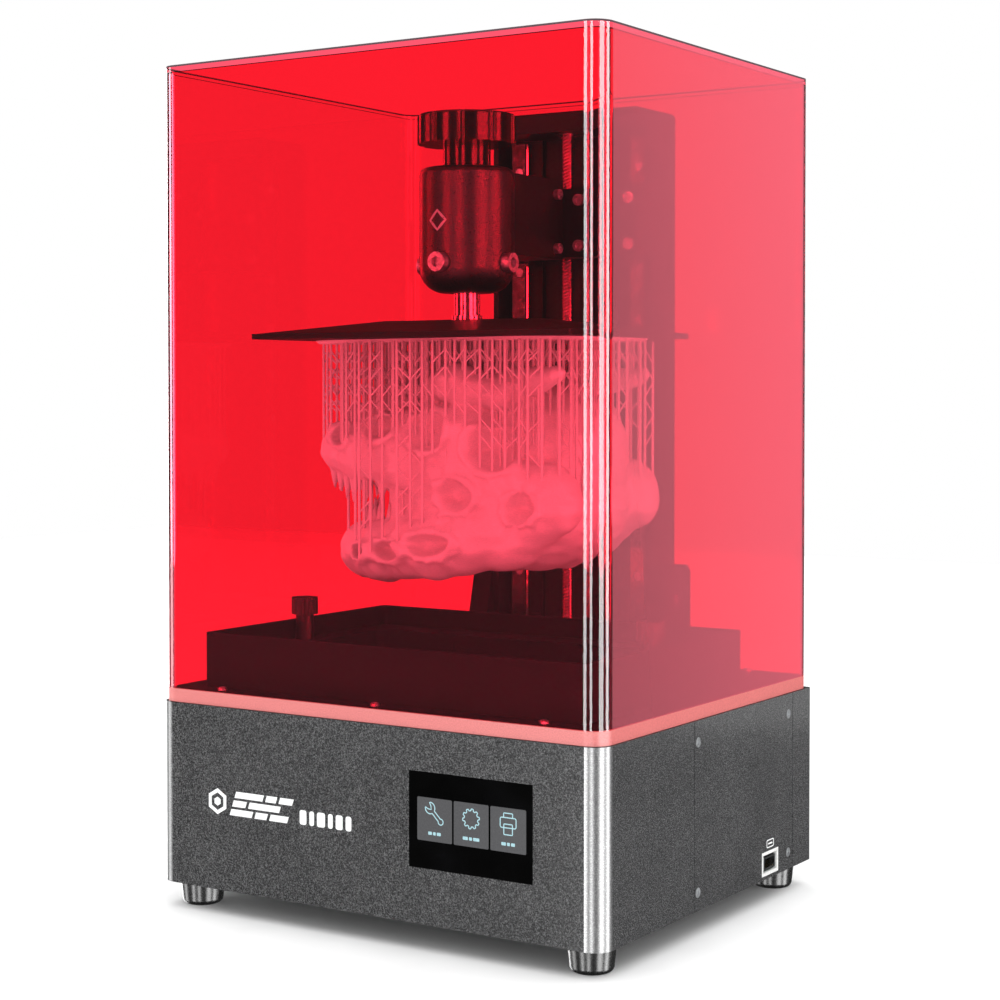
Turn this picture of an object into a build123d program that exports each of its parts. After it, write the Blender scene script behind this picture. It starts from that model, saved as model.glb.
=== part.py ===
"""Desktop resin printer with a lift-off tinted cover, built in millimetres.

Frame: origin on the table under the middle of the machine, +X to the right, -Y to the front, +Z up.
Every piece is written as its own STEP in parts/, in its place in the finished machine.
"""

import math
import os

from build123d import *

# Overall size
WIDTH = 280.0
DEPTH = 240.0
FOOT_HEIGHT = 13.8
BASE_TOP = 112.3
DECK_TOP = 120.0
COVER_TOP = 458.0

# Sheet-metal housing
SHELL_WALL = 2.0
SHELL_RADIUS = 10.0
SEAM_GAP = 0.6
FRONT_SEAM_Y = -25.0
REAR_SEAM_Y = 94.3
LIP_MARGIN = 4.5
FLOOR_THICKNESS = 1.5

# Tinted cover
COVER_INSET = 1.0
COVER_WALL = 3.5
COVER_CORNER = 10.0
SKIRT_BOTTOM = 112.5
SKIRT_TOP = 119.7
COVER_ROOF = 3.6

# Resin vat, screen and building plate share this centre line
PLATE_Y = -24.0
VAT_HALF_X = 121.0
VAT_HALF_Y = 84.0
VAT_Y = -19.0
VAT_TOP = 149.4
VAT_LEDGE = 138.0
VAT_WALL = 2.6
BASIN_HALF_X = 104.0
BASIN_HALF_Y = 64.0
FRAME_TOP = 123.0
SCREEN_HALF_X = 100.0
SCREEN_HALF_Y = 62.5
SCREEN_TOP = 122.6
THUMB_X = 112.0
THUMB_Y = -25.0

# Building plate and its ball clamp
PLATE_HALF_X = 102.0
PLATE_HALF_Y = 61.0
PLATE_BOTTOM = 310.0
PLATE_EDGE = 3.0
PLATE_ROOF = 7.5
BALL_Z = 349.0
BALL_RADIUS = 12.0
STUD_RADIUS = 7.2
CLAMP_BOTTOM = 335.0
CLAMP_TOP = 403.0
CLAMP_RADIUS = 26.0
KNOB_RADIUS = 27.0
KNOB_TOP = 432.0

# Column, rails and screw
COLUMN_HALF = 52.5
COLUMN_WALL = 3.5
COLUMN_FRONT = 84.0
COLUMN_BACK = 113.5
COLUMN_TOP = 444.0
CAP_HEIGHT = 11.5
CAP_FRONT = 67.0
WEB_FRONT = 98.2
RAIL_X = 39.5
RAIL_WIDTH = 9.0
RAIL_HEIGHT = 6.5
SCREW_Y = 84.0
SCREW_RADIUS = 4.0

# Carriage
CARRIAGE_HALF = 58.0
CARRIAGE_FRONT = 61.0
CARRIAGE_BACK = 77.0
CARRIAGE_BOTTOM = 358.7
CARRIAGE_TOP = 398.4
ARM_HALF = 10.0
ARM_BOTTOM = 357.5
BLOCK_FRONT = 88.2
FIT = 0.05

# Touch panel and sockets
TOUCH_X = (27.8, 101.3)
TOUCH_Z = (42.4, 91.2)
USB_Y = 65.4
USB_Z = 22.3
REAR_FAN_X = 72.0
REAR_FAN_Z = 62.0
INLET_X = -95.0
INLET_Z = 40.0
SWITCH_Z = 78.0

# Sample print on the plate
PRINT_BOTTOM = 178.0
PRINT_TOP = 284.0
RAFT_THICKNESS = 2.0

os.makedirs("parts", exist_ok=True)


def block(x0, x1, y0, y1, z0, z1):
    """Box between three pairs of coordinates."""
    centre = Pos((x0 + x1) / 2, (y0 + y1) / 2, (z0 + z1) / 2)
    return centre * Box(abs(x1 - x0), abs(y1 - y0), abs(z1 - z0))


def rounded(half_x, half_y, z0, z1, radius, centre_y=0.0):
    """Upright prism over a rectangle with round corners."""
    outline = RectangleRounded(2 * half_x, 2 * half_y, radius)
    return extrude(Plane.XY.offset(z0) * Pos(0, centre_y) * outline, z1 - z0)


def rod(x, y, z0, z1, radius):
    """Upright cylinder."""
    return Pos(x, y, (z0 + z1) / 2) * Cylinder(radius, z1 - z0)


def rod_x(x0, x1, y, z, radius):
    """Cylinder along X."""
    return Pos((x0 + x1) / 2, y, z) * Rot(0, 90, 0) * Cylinder(radius, abs(x1 - x0))


def rod_y(x, y0, y1, z, radius):
    """Cylinder along Y."""
    return Pos(x, (y0 + y1) / 2, z) * Rot(90, 0, 0) * Cylinder(radius, abs(y1 - y0))


def hex_socket(depth, across):
    """Hexagonal recess cutter, its mouth at the origin, cut towards -Z."""
    return extrude(RegularPolygon(across / math.sqrt(3), 6), -depth)


def cap_screw(head_radius, head_height, shank_radius, shank_length):
    """Socket screw along Z: the head stands above the origin and the shank hangs below it."""
    head = Pos(0, 0, head_height / 2) * Cylinder(head_radius, head_height)
    shank = Pos(0, 0, -shank_length / 2) * Cylinder(shank_radius, shank_length)
    socket = Pos(0, 0, head_height) * hex_socket(head_height * 0.6, head_radius)
    return head + shank - socket


def save(name, *solids):
    """Write one node, a single solid or a group of alike solids."""
    shape = solids[0] if len(solids) == 1 else Compound(children=list(solids))
    export_step(shape, f"parts/{name}.step")


# ---------------------------------------------------------------- housing
def housing_blank():
    outer = rounded(WIDTH / 2, DEPTH / 2, FOOT_HEIGHT, BASE_TOP, SHELL_RADIUS)
    hollow = rounded(
        WIDTH / 2 - SHELL_WALL,
        DEPTH / 2 - SHELL_WALL,
        FOOT_HEIGHT - 1,
        BASE_TOP + 1,
        SHELL_RADIUS - SHELL_WALL,
    )
    return outer - hollow


SIDE_SCREW_Y = (FRONT_SEAM_Y + 4.3, REAR_SEAM_Y - 5.3)
SIDE_SCREW_Z = (23.2, 101.0)


def side_screw_holes(radius):
    """Cutters through both side walls at the four screw places of each panel."""
    places = [(y, z) for y in SIDE_SCREW_Y for z in SIDE_SCREW_Z]
    cutters = [rod_x(-WIDTH / 2 - 1, WIDTH / 2 + 1, y, z, radius) for y, z in places]
    return Compound(cutters)


def front_shell():
    """Front and the forward part of both sides, bent from one sheet, with lips for the side panels."""
    shell = housing_blank() & block(-WIDTH, WIDTH, -DEPTH, FRONT_SEAM_Y - SEAM_GAP / 2, 0, COVER_TOP)
    for side in (-1, 1):
        inner = side * (WIDTH / 2 - SHELL_WALL)
        shell += block(
            inner - side * SHELL_WALL,
            inner,
            FRONT_SEAM_Y - 8,
            FRONT_SEAM_Y + 12,
            FOOT_HEIGHT + LIP_MARGIN,
            BASE_TOP - LIP_MARGIN,
        )
    window = block(*TOUCH_X, -DEPTH, -DEPTH / 2 + 10, *TOUCH_Z)
    return shell - window - side_screw_holes(1.3)


def side_panel(side):
    """Removable flat panel between the two seams."""
    outer = side * WIDTH / 2
    panel = block(
        outer - side * SHELL_WALL,
        outer,
        FRONT_SEAM_Y + SEAM_GAP / 2,
        REAR_SEAM_Y - SEAM_GAP / 2,
        FOOT_HEIGHT,
        BASE_TOP,
    )
    for y in SIDE_SCREW_Y:
        for z in SIDE_SCREW_Z:
            panel -= rod_x(outer - side * 3, outer, y, z, 1.7)
            panel -= rod_x(outer - side * 1.2, outer, y, z, 2.8)
    if side > 0:
        panel -= block(outer - 3, outer + 1, USB_Y - 10.4, USB_Y + 10.4, USB_Z - 6.6, USB_Z + 6.6)
    return panel


def side_screws():
    """Small countersunk-style screws, flush with the panels."""
    screws = []
    for side in (-1, 1):
        for y in SIDE_SCREW_Y:
            for z in SIDE_SCREW_Z:
                screw = cap_screw(2.6, 1.15, 1.2, 5.5)
                screws.append(Pos(side * (WIDTH / 2 - 1.2), y, z) * Rot(0, side * 90, 0) * screw)
    return screws


def rear_panel():
    """Back wall with two short bent sides, the fan slots, the mains inlet and the switch openings."""
    outer = block(-WIDTH / 2, WIDTH / 2, REAR_SEAM_Y + SEAM_GAP / 2, DEPTH / 2, FOOT_HEIGHT, BASE_TOP)
    outer = fillet(outer.edges().filter_by(Axis.Z).group_by(Axis.Y)[-1], 3.0)
    hollow = block(
        -WIDTH / 2 + SHELL_WALL,
        WIDTH / 2 - SHELL_WALL,
        REAR_SEAM_Y - 5,
        DEPTH / 2 - SHELL_WALL,
        FOOT_HEIGHT - 1,
        BASE_TOP + 1,
    )
    panel = outer - hollow
    for side in (-1, 1):
        inner = side * (WIDTH / 2 - SHELL_WALL)
        panel += block(
            inner - side * SHELL_WALL,
            inner,
            REAR_SEAM_Y - 12,
            REAR_SEAM_Y + 8,
            FOOT_HEIGHT + LIP_MARGIN,
            BASE_TOP - LIP_MARGIN,
        )
    for row in range(-4, 5):
        offset = row * 6.0
        half = math.sqrt(27.0**2 - offset**2)
        z = REAR_FAN_Z + offset
        panel -= block(
            REAR_FAN_X - half, REAR_FAN_X + half, DEPTH / 2 - 3, DEPTH / 2 + 1, z - 1.5, z + 1.5
        )
    for dx in (-25, 25):
        for dz in (-25, 25):
            panel -= rod_y(REAR_FAN_X + dx, DEPTH / 2 - 3, DEPTH / 2 + 1, REAR_FAN_Z + dz, 1.8)
    panel -= block(INLET_X - 15, INLET_X + 15, DEPTH / 2 - 3, DEPTH / 2 + 1, INLET_Z - 11, INLET_Z + 11)
    panel -= block(INLET_X - 12, INLET_X + 12, DEPTH / 2 - 3, DEPTH / 2 + 1, SWITCH_Z - 9, SWITCH_Z + 9)
    return panel - side_screw_holes(1.3)


FOOT_PLACES = [(x, y) for x in (-124, 124) for y in (-102, 102)]


def floor_plate():
    """Bottom sheet with intake slots under the lamp fan and a hole over each foot."""
    plate = rounded(
        WIDTH / 2 - SHELL_WALL,
        DEPTH / 2 - SHELL_WALL,
        FOOT_HEIGHT,
        FOOT_HEIGHT + FLOOR_THICKNESS,
        SHELL_RADIUS - SHELL_WALL,
    )
    square = WIDTH / 2 - SHELL_WALL
    plate += block(-square, square, 0, DEPTH / 2 - SHELL_WALL, FOOT_HEIGHT, FOOT_HEIGHT + FLOOR_THICKNESS)
    for row in range(-4, 5):
        y = PLATE_Y + 7.0 * row
        plate -= block(-28, 28, y - 1.5, y + 1.5, FOOT_HEIGHT - 1, FOOT_HEIGHT + 3)
    for x, y in FOOT_PLACES:
        plate -= rod(x, y, FOOT_HEIGHT - 1, FOOT_HEIGHT + 3, 2.2)
    return plate


def foot(x, y):
    """Moulded rubber foot, narrower at the table, with a recess for its screw."""
    body = Cone(10.8, 12.3, FOOT_HEIGHT)
    body = fillet(body.edges().group_by(Axis.Z)[0], 3.0)
    body = Pos(x, y, FOOT_HEIGHT / 2) * body
    return body - rod(x, y, -1, 8.0, 5.5) - rod(x, y, 7, FOOT_HEIGHT + 1, 2.2)


def foot_screws():
    screws = []
    for x, y in FOOT_PLACES:
        screws.append(Pos(x, y, 8.0) * Rot(180, 0, 0) * cap_screw(4.4, 3.0, 2.0, 10.0))
    return screws


# ---------------------------------------------------------------- deck
DECK_RIM_X = 134.5
DECK_RIM_Y = 114.5
DECK_PLATE = 3.0
FLANGE_BOTTOM = BASE_TOP - 2.0


def deck_plate():
    """Raised deck: a thick plate on a standing rim, with a flange that closes the housing."""
    deck = rounded(DECK_RIM_X, DECK_RIM_Y, FLANGE_BOTTOM, DECK_TOP, 6.0)
    deck -= rounded(DECK_RIM_X - 2, DECK_RIM_Y - 2, FLANGE_BOTTOM - 1, DECK_TOP - DECK_PLATE, 4.0)
    flange = rounded(
        WIDTH / 2 - SHELL_WALL,
        DEPTH / 2 - SHELL_WALL,
        FLANGE_BOTTOM,
        BASE_TOP,
        SHELL_RADIUS - SHELL_WALL,
    )
    square = WIDTH / 2 - SHELL_WALL
    flange += block(-square, square, 0, DEPTH / 2 - SHELL_WALL, FLANGE_BOTTOM, BASE_TOP)
    deck += flange - rounded(DECK_RIM_X - 1, DECK_RIM_Y - 1, FLANGE_BOTTOM - 1, BASE_TOP + 1, 5.0)
    deck -= rounded(SCREEN_HALF_X + 1, SCREEN_HALF_Y + 1, DECK_TOP - 5, DECK_TOP + 1, 3.0, PLATE_Y)
    deck -= rod(0, SCREW_Y, DECK_TOP - 5, DECK_TOP + 1, 11.0)
    for side in (-1, 1):
        deck -= rod(side * THUMB_X, THUMB_Y, DECK_TOP - 5, DECK_TOP + 1, 2.6)
        deck -= rod(side * 40, 104, DECK_TOP - 5, DECK_TOP + 1, 2.2)
    return deck


def screen_frame():
    """Steel frame under the deck that carries the mask screen."""
    frame = rounded(SCREEN_HALF_X + 7, SCREEN_HALF_Y + 6, DECK_TOP - 4.5, DECK_TOP - 3, 4.0, PLATE_Y)
    return frame - rounded(SCREEN_HALF_X - 3, SCREEN_HALF_Y - 2.5, 0, DECK_TOP, 3.0, PLATE_Y)


def mask_screen():
    """Liquid-crystal mask panel with its glass, standing a little above the deck."""
    return rounded(SCREEN_HALF_X, SCREEN_HALF_Y, DECK_TOP - DECK_PLATE, SCREEN_TOP, 2.0, PLATE_Y)


# ---------------------------------------------------------------- lamp under the screen
HOOD_TOP = DECK_TOP - 4.5
HOOD_BOTTOM = 45.0


def tapered(half_top, half_bottom):
    """Pyramid frustum between the lamp board and the screen frame."""
    top = Plane.XY.offset(HOOD_TOP) * Pos(0, PLATE_Y) * Rectangle(2 * half_top[0], 2 * half_top[1])
    low = Plane.XY.offset(HOOD_BOTTOM) * Pos(0, PLATE_Y) * Rectangle(
        2 * half_bottom[0], 2 * half_bottom[1]
    )
    return loft(Sketch() + [low, top])


def lamp_hood():
    """Folded aluminium reflector between the lamps and the mask screen."""
    return tapered((99, 62), (78, 48)) - tapered((97, 60), (76, 46))


def lamp_board():
    return block(-80, 80, PLATE_Y - 50, PLATE_Y + 50, HOOD_BOTTOM - 1.6, HOOD_BOTTOM)


def lamp_lenses():
    """Grid of domed lenses, one over each lamp."""
    lenses = []
    for column in range(8):
        for row in range(5):
            x = -63 + 18 * column
            y = PLATE_Y - 36 + 18 * row
            dome = Pos(x, y, HOOD_BOTTOM) * Sphere(5.0)
            lenses.append(dome & block(x - 6, x + 6, y - 6, y + 6, HOOD_BOTTOM, HOOD_BOTTOM + 6))
    return lenses


def lamp_heatsink():
    """Extruded heat sink with its fins facing the fan."""
    top = HOOD_BOTTOM - 1.6
    sink = block(-78, 78, PLATE_Y - 48, PLATE_Y + 48, top - 4, top)
    for index in range(20):
        x = -76 + 8 * index
        sink += block(x - 0.8, x + 0.8, PLATE_Y - 48, PLATE_Y + 48, top - 11, top - 4)
    return sink


def fan_frame(size, depth, bore):
    """Square fan housing around the origin, its axis along Z, with a hub carried on four struts."""
    frame = extrude(RectangleRounded(size, size, 4), depth / 2, both=True)
    frame -= Cylinder(bore, depth + 1)
    hub = Pos(0, 0, -depth / 2 + 1) * Cylinder(bore * 0.42, 2)
    struts = [Rot(0, 0, a) * Box(2 * bore + 1, 2.4, 2) for a in (45, 135)]
    for strut in struts:
        hub += Pos(0, 0, -depth / 2 + 1) * strut
    frame += hub + Cylinder(1.5, depth - 2)
    hole = size / 2 - 5
    for x in (-hole, hole):
        for y in (-hole, hole):
            frame -= Pos(x, y, 0) * Cylinder(2.0, depth + 1)
    return frame


def fan_rotor(depth, bore):
    """Hub with seven pitched blades."""
    rotor = Pos(0, 0, 1.3) * Cylinder(bore * 0.4, depth - 4.6)
    reach = bore - 1.0 - bore * 0.36
    for index in range(7):
        blade = Pos(bore * 0.36 + reach / 2, 0, 1.3) * Rot(38, 0, 0) * Box(reach, 9, 1.2)
        rotor += Rot(0, 0, index * 360 / 7) * blade
    return rotor - Cylinder(1.56, 2 * depth)


LAMP_FAN = Pos(0, PLATE_Y, 24.0)
REAR_FAN = Pos(REAR_FAN_X, DEPTH / 2 - SHELL_WALL - 6.5, REAR_FAN_Z) * Rot(-90, 0, 0)


# ---------------------------------------------------------------- electronics
def mainboard():
    board = block(84, 130, -80, 48, 24, 25.6)
    for x in (88, 126):
        for y in (-76, 44):
            board += rod(x, y, FOOT_HEIGHT + FLOOR_THICKNESS, 24, 2.5)
    return board


def mainboard_parts():
    """Processor cooler, drivers, capacitors and plugs on the board."""
    parts = [block(98, 116, -40, -22, 25.6, 34)]
    for index in range(3):
        parts.append(block(90, 100, -8 + 14 * index, 2 + 14 * index, 25.6, 28))
    for x in (94, 110):
        parts.append(block(x - 4, x + 4, 36, 44, 25.6, 36))
    for index in range(5):
        parts.append(block(118, 127, -72 + 14 * index, -62 + 14 * index, 25.6, 32))
    for index in range(3):
        parts.append(rod(92, -66 + 14 * index, 25.6, 35, 4))
    return parts


def power_supply():
    """Open-frame supply in a folded can with vent slots."""
    can = block(-132, -86, -80, 60, FOOT_HEIGHT + FLOOR_THICKNESS, 48)
    can -= block(-130.8, -87.2, -78.8, 58.8, FOOT_HEIGHT + FLOOR_THICKNESS + 1.2, 46.8)
    for index in range(12):
        y = -70 + 11 * index
        can -= block(-125, -93, y - 1.2, y + 1.2, 45, 50)
    return can


def usb_board():
    board = block(116, 137, USB_Y - 10, USB_Y + 10, 17.2, 18.8)
    for y in (USB_Y - 7, USB_Y + 7):
        board += rod(119, y, FOOT_HEIGHT + FLOOR_THICKNESS, 17.2, 2.0)
    return board


def usb_socket():
    """Type A receptacle: a folded metal shell around the contact tongue."""
    shell = block(124, 139.6, USB_Y - 7.0, USB_Y + 7.0, 18.8, 25.8)
    shell -= block(125, 141, USB_Y - 6.25, USB_Y + 6.25, USB_Z - 2.55, USB_Z + 2.55)
    return shell


def usb_tongue():
    return block(125, 134.8, USB_Y - 5.5, USB_Y + 5.5, USB_Z + 0.2, USB_Z + 2.0)


def usb_bezel():
    """White frame let into the side panel around the receptacle."""
    bezel = block(138, 140, USB_Y - 10.4, USB_Y + 10.4, USB_Z - 6.6, USB_Z + 6.6)
    return bezel - block(137, 141, USB_Y - 8.6, USB_Y + 8.6, USB_Z - 4.8, USB_Z + 4.8)


def power_inlet():
    """Three-pin mains inlet, clipped in from behind."""
    rear = DEPTH / 2
    body = block(INLET_X - 15, INLET_X + 15, rear - 22, rear, INLET_Z - 11, INLET_Z + 11)
    body += block(INLET_X - 19, INLET_X + 19, rear - 5, rear - 2, INLET_Z - 13, INLET_Z + 13)
    body -= block(INLET_X - 12.2, INLET_X + 12.2, rear - 17, rear + 1, INLET_Z - 8.3, INLET_Z + 8.3)
    for dx, dz in ((-7, -2), (0, 3), (7, -2)):
        body += block(
            INLET_X + dx - 1, INLET_X + dx + 1, rear - 17.5, rear - 5, INLET_Z + dz - 2, INLET_Z + dz + 2
        )
    return body


def switch_bezel():
    """Frame of the rocker switch, flush with the back wall."""
    rear = DEPTH / 2
    bezel = block(INLET_X - 12, INLET_X + 12, rear - 18, rear, SWITCH_Z - 9, SWITCH_Z + 9)
    return bezel - block(INLET_X - 9.5, INLET_X + 9.5, rear - 16, rear + 1, SWITCH_Z - 7, SWITCH_Z + 7)


SWITCH_PIVOT_Y = DEPTH / 2 - 7.5
ROCKER_TILT = 7.0


def power_rocker():
    """Rocker key, tipped to its off side, turning on a pin along X."""
    key = Box(17.8, 12.4, 11.0)
    key = fillet(key.edges().filter_by(Axis.X).group_by(Axis.Y)[-1], 2.0)
    valley = Pos(0, 6.2 + 29.2, 0) * Rot(0, 90, 0) * Cylinder(30.0, 20)
    key -= valley
    return Pos(INLET_X, SWITCH_PIVOT_Y, SWITCH_Z) * Rot(ROCKER_TILT, 0, 0) * key


def touch_glass():
    """Cover glass of the touch panel, flush with the front."""
    front = -DEPTH / 2
    return block(*TOUCH_X, front, front + 1.8, *TOUCH_Z)


def touch_module():
    """Display module behind the glass."""
    front = -DEPTH / 2 + SHELL_WALL
    return block(TOUCH_X[0] - 3, TOUCH_X[1] + 3, front, front + 7, TOUCH_Z[0] - 3, TOUCH_Z[1] + 3)


# ---------------------------------------------------------------- drive under the deck
MOTOR_TOP = DECK_TOP - DECK_PLATE - 2.5
MOTOR_BOTTOM = MOTOR_TOP - 40.0


def motor_plate():
    """Steel plate that hangs the motor under the deck."""
    plate = block(-32, 32, 58, 110, MOTOR_TOP, DECK_TOP - DECK_PLATE)
    return plate - rod(0, SCREW_Y, 0, DECK_TOP, 11.2)


def stepper_motor():
    """Square 42 mm stepper motor, its shaft bore open at the top."""
    body = Pos(0, SCREW_Y, (MOTOR_TOP + MOTOR_BOTTOM) / 2) * Box(42.3, 42.3, 40.0)
    body = chamfer(body.edges().filter_by(Axis.Z), 3.0)
    body += rod(0, SCREW_Y, MOTOR_TOP, MOTOR_TOP + 2.0, 11.0)
    return body - rod(0, SCREW_Y, MOTOR_TOP - 12, MOTOR_TOP + 3, 2.8)


def motor_shaft():
    return rod(0, SCREW_Y, MOTOR_TOP - 11, 135.0, 2.5)


def motor_coupler():
    """Clamping coupler that joins the motor shaft to the screw."""
    body = rod(0, SCREW_Y, 122.0, 147.0, 8.0)
    body -= rod(0, SCREW_Y, 121.0, 135.0, 2.5)
    body -= rod(0, SCREW_Y, 135.0, 148.0, SCREW_RADIUS)
    for z in (127.0, 142.0):
        body -= rod_x(3, 9, SCREW_Y - 3.0, z, 1.5)
    return body


def lead_screw():
    """Trapezoidal lead screw with a turned journal at the top."""
    screw = rod(0, SCREW_Y, 135.0, COLUMN_TOP - CAP_HEIGHT - 0.3, SCREW_RADIUS)
    return screw + rod(0, SCREW_Y, COLUMN_TOP - CAP_HEIGHT - 0.3, COLUMN_TOP - 6.0, 2.95)


def screw_bearing():
    """Small ball bearing pressed into the column cap."""
    low = COLUMN_TOP - CAP_HEIGHT
    return rod(0, SCREW_Y, low, low + 5.0, 8.0) - rod(0, SCREW_Y, low - 1, low + 6, 3.0)


# ---------------------------------------------------------------- column
def column_frame():
    """Folded U-section that closes the column at the back and both sides."""
    top = COLUMN_TOP - CAP_HEIGHT
    frame = block(-COLUMN_HALF, COLUMN_HALF, COLUMN_FRONT, COLUMN_BACK, DECK_TOP, top)
    inner = COLUMN_HALF - COLUMN_WALL
    return frame - block(-inner, inner, COLUMN_FRONT - 1, COLUMN_BACK - COLUMN_WALL, 0, COVER_TOP)


def column_spine():
    """Aluminium extrusion that carries both rails, with a shallow channel behind the screw."""
    inner = COLUMN_HALF - COLUMN_WALL
    top = COLUMN_TOP - CAP_HEIGHT
    spine = block(-inner, inner, WEB_FRONT, COLUMN_BACK - COLUMN_WALL, DECK_TOP, top)
    return spine - block(-26.5, 26.5, WEB_FRONT - 1, WEB_FRONT + 3, 0, COVER_TOP)


def column_cap():
    """Machined head plate of the column with the bearing pocket."""
    low = COLUMN_TOP - CAP_HEIGHT
    cap = block(-COLUMN_HALF, COLUMN_HALF, CAP_FRONT, COLUMN_BACK, low, COLUMN_TOP)
    cap = chamfer(cap.edges().group_by(Axis.Z)[-1], 1.5)
    return cap - rod(0, SCREW_Y, low - 1, low + 5.0, 8.0) - rod(0, SCREW_Y, low, low + 7.0, 3.6)


def column_foot(side):
    """Cast bracket bolted to the side of the column, sloping out towards the deck."""
    outline = Polyline(
        (69.5, DECK_TOP),
        (82.0, 174.0),
        (88.0, 180.0),
        (106.0, 180.0),
        (110.0, 176.0),
        (110.0, DECK_TOP),
        close=True,
    )
    profile = Plane.YZ * make_face(outline)
    inner = COLUMN_HALF
    bracket = Pos(inner if side > 0 else -inner - 12.5, 0, 0) * extrude(profile, 12.5)
    face = side * (inner + 12.5)
    bracket -= rod_x(side * inner, face, 93.2, 160.8, 1.5)
    return bracket - rod_x(face - side * 4, face + side, 93.2, 160.8, 3.4)


def foot_bolts():
    """Screws through the brackets into the column, one on each side."""
    bolts = []
    for side in (-1, 1):
        face = side * (COLUMN_HALF + 8.5)
        screw = cap_screw(3.3, 3.0, 1.5, 8.4)
        bolts.append(Pos(face, 93.2, 160.8) * Rot(0, side * 90, 0) * screw)
    return bolts


def linear_rail(side):
    """Ground steel rail with a row of counterbored fixing holes."""
    x = side * RAIL_X
    front = WEB_FRONT - RAIL_HEIGHT
    rail = block(x - RAIL_WIDTH / 2, x + RAIL_WIDTH / 2, front, WEB_FRONT, 126.0, 430.0)
    for side_x in (-1, 1):
        edge = x + side_x * RAIL_WIDTH / 2
        groove = Pos(edge, front + 2.6, 278.0) * Rot(0, 0, 45) * Box(1.3, 1.3, 310.0)
        rail -= groove
    for index in range(10):
        z = 143.0 + 30.0 * index
        rail -= rod_y(x, front - 1, front + 3.3, z, 3.0)
    return rail


def rail_screws():
    screws = []
    for side in (-1, 1):
        for index in range(10):
            z = 143.0 + 30.0 * index
            y = WEB_FRONT - RAIL_HEIGHT + 3.3
            head = rod_y(side * RAIL_X, y - 2.4, y, z, 2.7)
            screws.append(head)
    return screws


# ---------------------------------------------------------------- carriage
def rail_block(side):
    """Bearing block that hugs its rail from the front and both sides."""
    x = side * RAIL_X
    body = block(x - 9, x + 9, BLOCK_FRONT, WEB_FRONT - 2.0, 356.0, 401.0)
    groove = RAIL_WIDTH / 2 + FIT
    return body - block(x - groove, x + groove, WEB_FRONT - RAIL_HEIGHT - FIT, WEB_FRONT, 350, 410)


CARRIAGE_SCREW_PLACES = [(x, z) for x in (-51.2, -21.1, 21.1, 51.2) for z in (365.2, 391.5)]
ARM_SCREW_Z = (363.5, 394.5)
ARM_SCREW_Y = 53.3


def carriage():
    """Machined cross plate with two pads for the blocks, a nut bracket and a tab for the arm."""
    plate = block(
        -CARRIAGE_HALF, CARRIAGE_HALF, CARRIAGE_FRONT, CARRIAGE_BACK, CARRIAGE_BOTTOM, CARRIAGE_TOP
    )
    plate = chamfer(plate.edges().filter_by(Axis.Z), 1.0)
    for side in (-1, 1):
        x = side * RAIL_X
        plate += block(x - 8.5, x + 8.5, CARRIAGE_BACK - 1, BLOCK_FRONT, 360.0, 397.0)
    plate += block(-12, 12, CARRIAGE_BACK - 1, 95.0, 374.0, 386.0)
    plate += block(-4, 4, CARRIAGE_FRONT - 15, CARRIAGE_FRONT + 1, 362.0, 397.0)
    for x, z in CARRIAGE_SCREW_PLACES:
        plate -= rod_y(x, CARRIAGE_FRONT - 1, CARRIAGE_FRONT + 10, z, 1.5)
    return plate - rod(0, SCREW_Y, 370.0, 390.0, 5.2)


def carriage_screws():
    """Socket screws on the face of the cross plate."""
    screws = []
    for x, z in CARRIAGE_SCREW_PLACES:
        screw = cap_screw(3.3, 2.2, 1.5, 9.5)
        screws.append(Pos(x, CARRIAGE_FRONT, z) * Rot(90, 0, 0) * screw)
    return screws


def screw_nut():
    """Flanged nut on the lead screw."""
    nut = rod(0, SCREW_Y, 370.0, 386.0, 5.2) + rod(0, SCREW_Y, 370.0, 374.0, 6.9)
    return nut - rod(0, SCREW_Y, 360.0, 390.0, SCREW_RADIUS + 0.08)


def plate_arm():
    """Arm from the carriage to the clamp, saddled to the clamp's round back."""
    arm = block(-ARM_HALF, ARM_HALF, PLATE_Y + 18, CARRIAGE_FRONT, ARM_BOTTOM, CLAMP_TOP)
    arm -= rod(0, PLATE_Y, 300, 450, CLAMP_RADIUS)
    for z in ARM_SCREW_Z:
        arm -= rod_x(-ARM_HALF - 1, ARM_HALF + 1, ARM_SCREW_Y, z, 1.5)
    return arm - block(-4, 4, CARRIAGE_FRONT - 15, CARRIAGE_FRONT + 1, 362.0, 397.0)


def arm_screws():
    """Cross screws that pinch the arm on the carriage tab."""
    screws = []
    for side in (-1, 1):
        for z in ARM_SCREW_Z:
            screw = cap_screw(3.0, 3.0, 1.5, 5.8)
            screws.append(Pos(side * ARM_HALF, ARM_SCREW_Y, z) * Rot(0, side * 90, 0) * screw)
    return screws


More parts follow.
